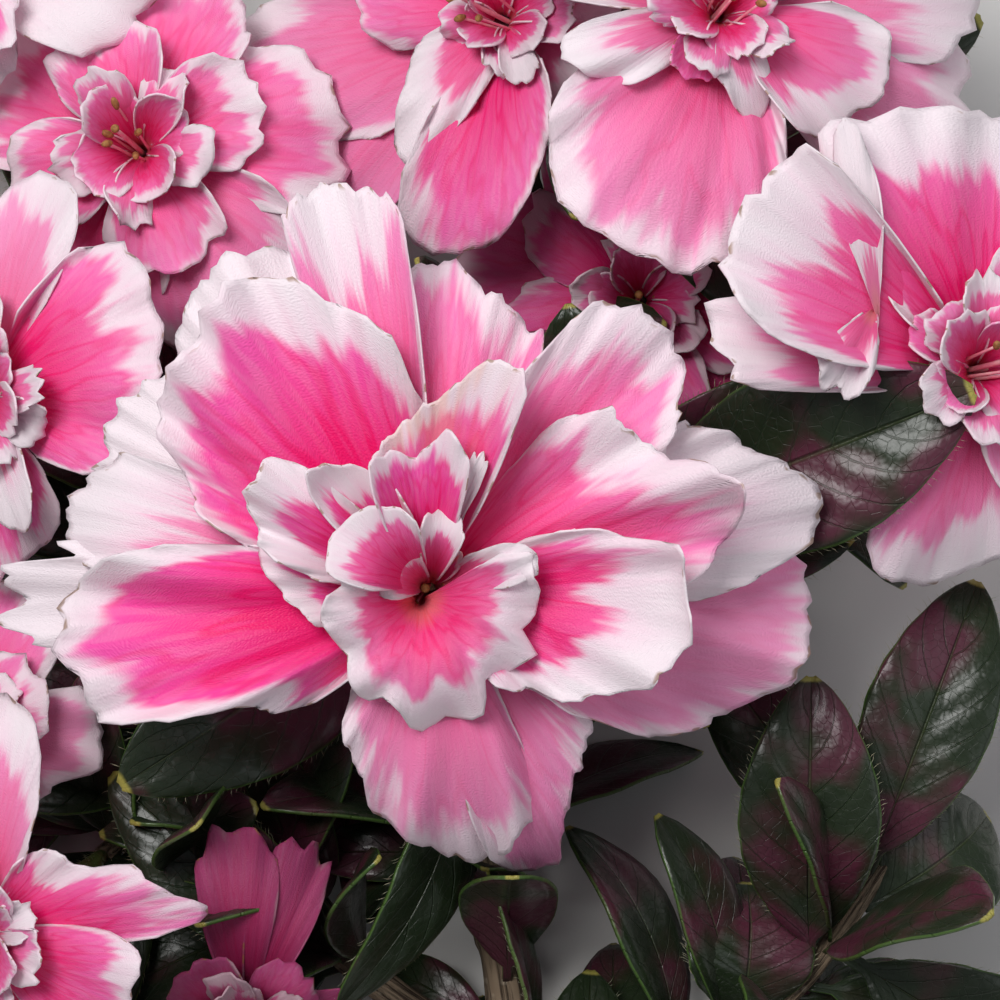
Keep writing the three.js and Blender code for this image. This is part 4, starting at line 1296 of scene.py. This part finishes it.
class AZALEA_OT_petals(bpy.types.Operator):
    """Adds the petals and tubes of all the blooms"""

    bl_idname = "azalea.petals"
    bl_label = "Petals"

    def execute(self, context):
        settings = context.scene.azalea
        for index, flower in enumerate(BLOOMS):
            node = f"bloom_{flower.name}"
            if flower.name == "centre":
                outer, inner, heart = flower.whorls
                petals_of(flower, [outer], "petals_centre_outer", [node], settings,
                          dice("central_petals", 0), True)
                petals_of(flower, [inner], "petals_centre_inner", [], settings,
                          dice("central_petals", 1), False)
                petals_of(flower, [heart], "petals_centre_heart", [], settings,
                          dice("central_petals", 2), False)
            else:
                petals_of(flower, flower.whorls, f"petals_{flower.name}", [node], settings,
                          dice("petals", index), True)
        return {"FINISHED"}


class AZALEA_OT_stamens(bpy.types.Operator):
    """Adds the stamens and the pistil of each bloom"""

    bl_idname = "azalea.stamens"
    bl_label = "Stamens"

    def execute(self, context):
        settings = context.scene.azalea
        for index, flower in enumerate(BLOOMS):
            rng = dice("stamens", index)
            foot = on_face(*flower.throat) - flower.out * STAMEN_FOOT
            first, second = crosswise(flower.out, (0.3, 0.8, 0.1))
            short = flower.name in ("centre", "behind")
            rods = []
            for k in range(STAMENS + 1):
                turn = 2 * math.pi * (k + rng.uniform(-0.2, 0.2)) / STAMENS
                pistil = k == STAMENS
                lean = 0.4 if pistil else rng.uniform(1.6, 3.4)
                way = first * math.cos(turn) + second * math.sin(turn)
                high = (STAMEN_SHORT if short else STAMEN_HIGH) + rng.uniform(-1.5, 1.5)
                high = high + (PISTIL_MORE if pistil else 0)
                thick = PISTIL_RADIUS if pistil else FILAMENT_RADIUS
                curve = Curve([foot + way * 0.6, foot + way * lean * 0.6 + flower.out * high * 0.5,
                               foot + way * lean + flower.out * high])
                rods.append((rod_places(curve, lambda s, r=thick: r - FILAMENT_TAPER * s, 12, 8), 0))
                head = curve.at(1)
                axis = unit(curve.along(1) + 0.5 * way)
                long, fat = (0.5, 0.5) if pistil else (0.95, 0.42)
                knob = Curve([head - axis * long * 0.6, head + axis * 0.1, head + axis * long])
                rods.append((rod_places(knob, lambda s, f=fat: f * math.sin(
                    math.pi * (0.12 + 0.76 * s)) ** 0.6, 8, 10), 1))
            spots = cells(len(rods), False)
            pieces = []
            for spot, (places, kind) in zip(spots, rods):
                piece = sheet(places, spot)
                piece.data.materials.append(finish("filament", settings))
                piece.data.materials.append(finish("anther", settings))
                for face in piece.data.polygons:
                    face.material_index = kind
                pieces.append(piece)
            piece = welded(joined(pieces, f"stamens_{flower.name}"))
            kinds = [face.material_index for face in piece.data.polygons]
            placed(piece, [], [finish("filament", settings), finish("anther", settings)])
            for face, kind in zip(piece.data.polygons, kinds):
                face.material_index = kind
        return {"FINISHED"}


class AZALEA_OT_stalks(bpy.types.Operator):
    """Adds each bloom's stalk and its calyx of five lobes"""

    bl_idname = "azalea.stalks"
    bl_label = "Stalks"

    def execute(self, context):
        settings = context.scene.azalea
        for index, flower in enumerate(BLOOMS):
            foot = stalk_foot(flower)
            profile = [
                (0, 0), (STALK_WIDE / 2, 0), (STALK_WIDE * 0.47, 2), (STALK_WIDE * 0.45, 5),
                (STALK_WIDE / 2, STALK_LONG - 1), (1.5, STALK_LONG - 0.2), (2.1, STALK_LONG + 0.8),
                (2.3, STALK_LONG + 1.6), (1.7, STALK_LONG + 2.0), (0, STALK_LONG + 2.0),
            ]
            radii, heights = zip(*profile)
            spots = cells(6, False)
            pieces = [sheet(ring_places(foot, flower.out, radii, heights, 20), spots[0])]
            rng = dice("stalks", index)
            first, second = crosswise(flower.out)
            base = foot + flower.out * (STALK_LONG + 0.4)
            for k in range(5):
                turn = 2 * math.pi * k / 5
                way = first * math.cos(turn) + second * math.sin(turn)
                tip = base + way * CALYX_WIDE / 2 + flower.out * (CALYX_LONG - rng.uniform(0.4, 0.9))
                spine = Curve([base + way * 1.5, base + way * 2.5 + flower.out, tip])
                lobe = rod_places(spine, lambda s: 0.55 * math.sin(
                    math.pi * (0.25 + 0.7 * s)) ** 0.8, 7, 8)
                pieces.append(sheet(lobe, spots[k + 1]))
            piece = welded(joined(pieces, f"calyx_{flower.name}"))
            placed(piece, [f"stalk_{flower.name}"], [finish("young_stalk", settings)])
        return {"FINISHED"}


class AZALEA_OT_wood(bpy.types.Operator):
    """Adds the stem, boughs and shoots with their bark"""

    bl_idname = "azalea.wood"
    bl_label = "Wood"

    def execute(self, context):
        settings = context.scene.azalea
        for index, each in enumerate(LIMBS):
            long = each.curve.length
            rows = max(24, int(long / BARK_STEP))
            sides = 28 if each is STEM else 20
            relief = bark_relief(dice("wood", index), long)
            grid = above_floor(rod_places(
                each.curve, lambda s, each=each: radius_at(each, s) * BARK_DEPTH, rows, sides, relief))
            if each is STEM:
                grid[:3, :, 1] = CUT_MIDDLE[1]
            piece = welded(sheet(grid))
            piece.name = f"bark_{each.name}"
            placed(piece, [each.name], [finish("bark_wood", settings),
                                                finish("cut_wood", settings)])
            if each is STEM:
                end = (CUT_MIDDLE[1] + SHIFT[1] + 0.05) * MM
                for face in piece.data.polygons:
                    if face.center.y < end:
                        face.material_index = 1
        return {"FINISHED"}


class AZALEA_OT_leaves(bpy.types.Operator):
    """Adds the large leaves"""

    bl_idname = "azalea.leaves"
    bl_label = "Leaves"

    def execute(self, context):
        settings = context.scene.azalea
        for index, spec in enumerate(LEAVES):
            piece = sheet(large_blade(index, spec)[0], (0, 0, 0.5, 1))
            piece.name = f"blade_{index + 1}"
            thickened(piece, settings.leaf_thick)
            placed(piece, [f"leaf_{index + 1}"], [finish("leaf_blade", settings)])
        return {"FINISHED"}


def small_leaf_lines(count, rng):
    """Roots, lines and faces of the small leaves that stand round each shoot and bough."""
    for each in LIMBS:
        leafy = each.name.startswith("shoot")
        number = count if leafy else int(each.curve.length / BOUGH_LEAF_SPACE)
        for k in range(number):
            low = 0.2 if each is SHOOT_RIGHT or not leafy else 0.4
            share = rng.uniform(low, 0.97)
            root, along = each.curve.at(share), each.curve.along(share)
            first = unit(np.cross(along, (0.3, 0.1, 0.9)))
            way = turned(first, along, k * 2.4 + rng.uniform(-0.4, 0.4))
            lean = rng.uniform(0.1, 0.45)
            long = rng.uniform(24, 36) if each is BOUGH_RIGHT else rng.uniform(18, 31)
            line = unit(way + along * lean + (0, 0, 0.12)) * long
            if root[2] + line[2] < 2:
                line[2] = 2 - root[2]
            root = root + way * (radius_at(each, share) - 0.3)
            side = unit(np.cross(np.array([0.0, 0.0, 1.0]) + 0.5 * along, line))
            side = turned(side, unit(line), rng.uniform(-0.5, 0.5))
            face = unit(np.cross(line, side))
            yield root, line, side, face


class AZALEA_OT_small_leaves(bpy.types.Operator):
    """Adds the small leaves that fill the spray under its blooms"""

    bl_idname = "azalea.small_leaves"
    bl_label = "Small leaves"

    def execute(self, context):
        settings = context.scene.azalea
        rng = dice("small_leaves")
        lines = list(small_leaf_lines(settings.small_leaves, rng))
        spots = cells(len(lines))
        pieces = []
        for spot, (root, line, side, face) in zip(spots, lines):
            width = np.linalg.norm(line) * rng.uniform(0.34, 0.44)
            grid = blade_places(root, line, side, face, width, rng.uniform(1, 3.5), rng,
                                *SMALL_BLADE_STEPS)
            pieces.append(sheet(grid, spot))
        piece = joined(pieces, "small_leaves")
        thickened(piece, settings.leaf_thick)
        placed(piece, [], [finish("leaf_blade", settings)])
        return {"FINISHED"}


class AZALEA_OT_hairs(bpy.types.Operator):
    """Adds the fine hairs on leaf margins, stalks and young shoots"""

    bl_idname = "azalea.hairs"
    bl_label = "Hairs"

    def execute(self, context):
        settings = context.scene.azalea
        long = settings.hair_long / MM
        groups = []
        for index, spec in enumerate(LEAVES):
            grid, rng = large_blade(index, spec)
            tip = unit(spec.tip - grid[0, BLADE_STEPS[0] // 2])
            roots, ways = [], []
            for edge, inner in ((0, 2), (-1, -3)):
                for row in range(8, 54):
                    out = unit(grid[row, edge] - grid[row, inner])
                    step = grid[row + 1, edge] - grid[row, edge]
                    roots.append(grid[row, edge] + step * rng.random())
                    ways.append(unit(out + tip * rng.uniform(0.6, 1.4) + 0.2 * rng.normal(size=3)))
            groups.append(tufts(rng, roots, ways, long))
        for index, flower in enumerate(BLOOMS):
            rng = dice("stalk_hairs", index)
            foot = stalk_foot(flower)

            def on_stalk(high, flower=flower, foot=foot):
                radius = STALK_WIDE * 0.46 if high < STALK_LONG - 1 else 2.0
                return foot + flower.out * high, flower.out, radius

            roots, ways = hair_roots(rng, STALK_HAIRS, (0.2, STALK_LONG + 1.5), (0.8, 1.8), on_stalk)
            groups.append(tufts(rng, roots, ways, long))
        for index, each in enumerate(SHOOTS):
            rng = dice("shoot_hairs", index)

            def on_shoot(share, each=each):
                return each.curve.at(share), each.curve.along(share), radius_at(each, share) * 0.95

            roots, ways = hair_roots(rng, SHOOT_HAIRS, (0.3, 1), (0.6, 1.6), on_shoot)
            groups.append(tufts(rng, roots, ways, long * SHOOT_HAIR_SHARE))
        piece = tuft_piece("fine_hairs", groups)
        placed(piece, [], [finish("hair", settings)])
        return {"FINISHED"}


class AZALEA_OT_stage(bpy.types.Operator):
    """Adds the floor, the lights and the camera"""

    bl_idname = "azalea.stage"
    bl_label = "Stage"

    def execute(self, context):
        scene = context.scene
        bpy.ops.object.select_all(action="DESELECT")
        bpy.ops.mesh.primitive_plane_add(size=6, location=(0, 0, -0.0002))
        floor = context.active_object
        floor.name = "floor"
        cloth = Shading("floor", Roughness=0.8)
        grain = cloth.noise(cloth.place(), 60, 3)
        floor.data.materials.append(cloth.feed(
            Base_Color=cloth.mix(grain * 0.3, (0.7, 0.69, 0.67), (0.76, 0.75, 0.73))))
        floor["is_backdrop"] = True
        middle = np.array([0, 0, FACE_HEIGHT]) + SHIFT
        for name, place, size, power, colour in LIGHTS:
            bpy.ops.object.light_add(type="AREA", location=tuple((middle + place) * MM))
            lamp = context.active_object
            lamp.name = name
            lamp.data.size = size
            lamp.data.energy = power
            lamp.data.color = colour
            away = lamp.location - Vector(middle * MM)
            lamp.rotation_euler = away.to_track_quat("Z", "Y").to_euler()
        world = bpy.data.worlds.new("studio")
        world.use_nodes = True
        sky = world.node_tree.nodes["Background"]
        sky.inputs["Color"].default_value = SKY
        sky.inputs["Strength"].default_value = SKY_STRENGTH
        scene.world = world
        scene.view_settings.view_transform = "Standard"
        place = middle + FACE[2] * CAMERA_DISTANCE
        bpy.ops.object.camera_add(location=tuple(place * MM), rotation=(FACE_LEAN, 0, 0))
        camera = context.active_object
        camera.data.lens = LENS
        camera.data.sensor_width = SENSOR
        camera.data.clip_start = 0.01
        scene.camera = camera
        return {"FINISHED"}


class AZALEA_PT_panel(bpy.types.Panel):
    """Lists the sizes, the colours and the steps that build the spray"""

    bl_label = "Azalea Spray"
    bl_space_type = "VIEW_3D"
    bl_region_type = "UI"
    bl_category = "Azalea"

    def draw(self, context):
        settings = context.scene.azalea
        for name in settings.bl_rna.properties.keys():
            if name not in ("rna_type", "name"):
                self.layout.prop(settings, name)
        for operator in OPERATORS:
            self.layout.operator(operator.bl_idname)


OPERATORS = (
    AZALEA_OT_wood, AZALEA_OT_stalks, AZALEA_OT_petals, AZALEA_OT_stamens, AZALEA_OT_leaves,
    AZALEA_OT_small_leaves, AZALEA_OT_hairs, AZALEA_OT_stage,
)
CLASSES = (Settings, *OPERATORS, AZALEA_PT_panel)


def register():
    """Adds the classes and the settings to Blender."""
    for each in CLASSES:
        bpy.utils.register_class(each)
    bpy.types.Scene.azalea = bpy.props.PointerProperty(type=Settings)


def unregister():
    """Takes the classes and the settings out again."""
    del bpy.types.Scene.azalea
    for each in reversed(CLASSES):
        bpy.utils.unregister_class(each)


def main():
    """Builds the spray and its stage."""
    register()
    bpy.ops.azalea.wood()
    bpy.ops.azalea.stalks()
    bpy.ops.azalea.petals()
    bpy.ops.azalea.stamens()
    bpy.ops.azalea.leaves()
    bpy.ops.azalea.small_leaves()
    bpy.ops.azalea.hairs()
    bpy.ops.azalea.stage()
    sizes = {name: [list(corner) for corner in box]
             for name, box in (("cad", CAD_BOX), ("visual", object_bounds()))}


if __name__ == "__main__":
    main()
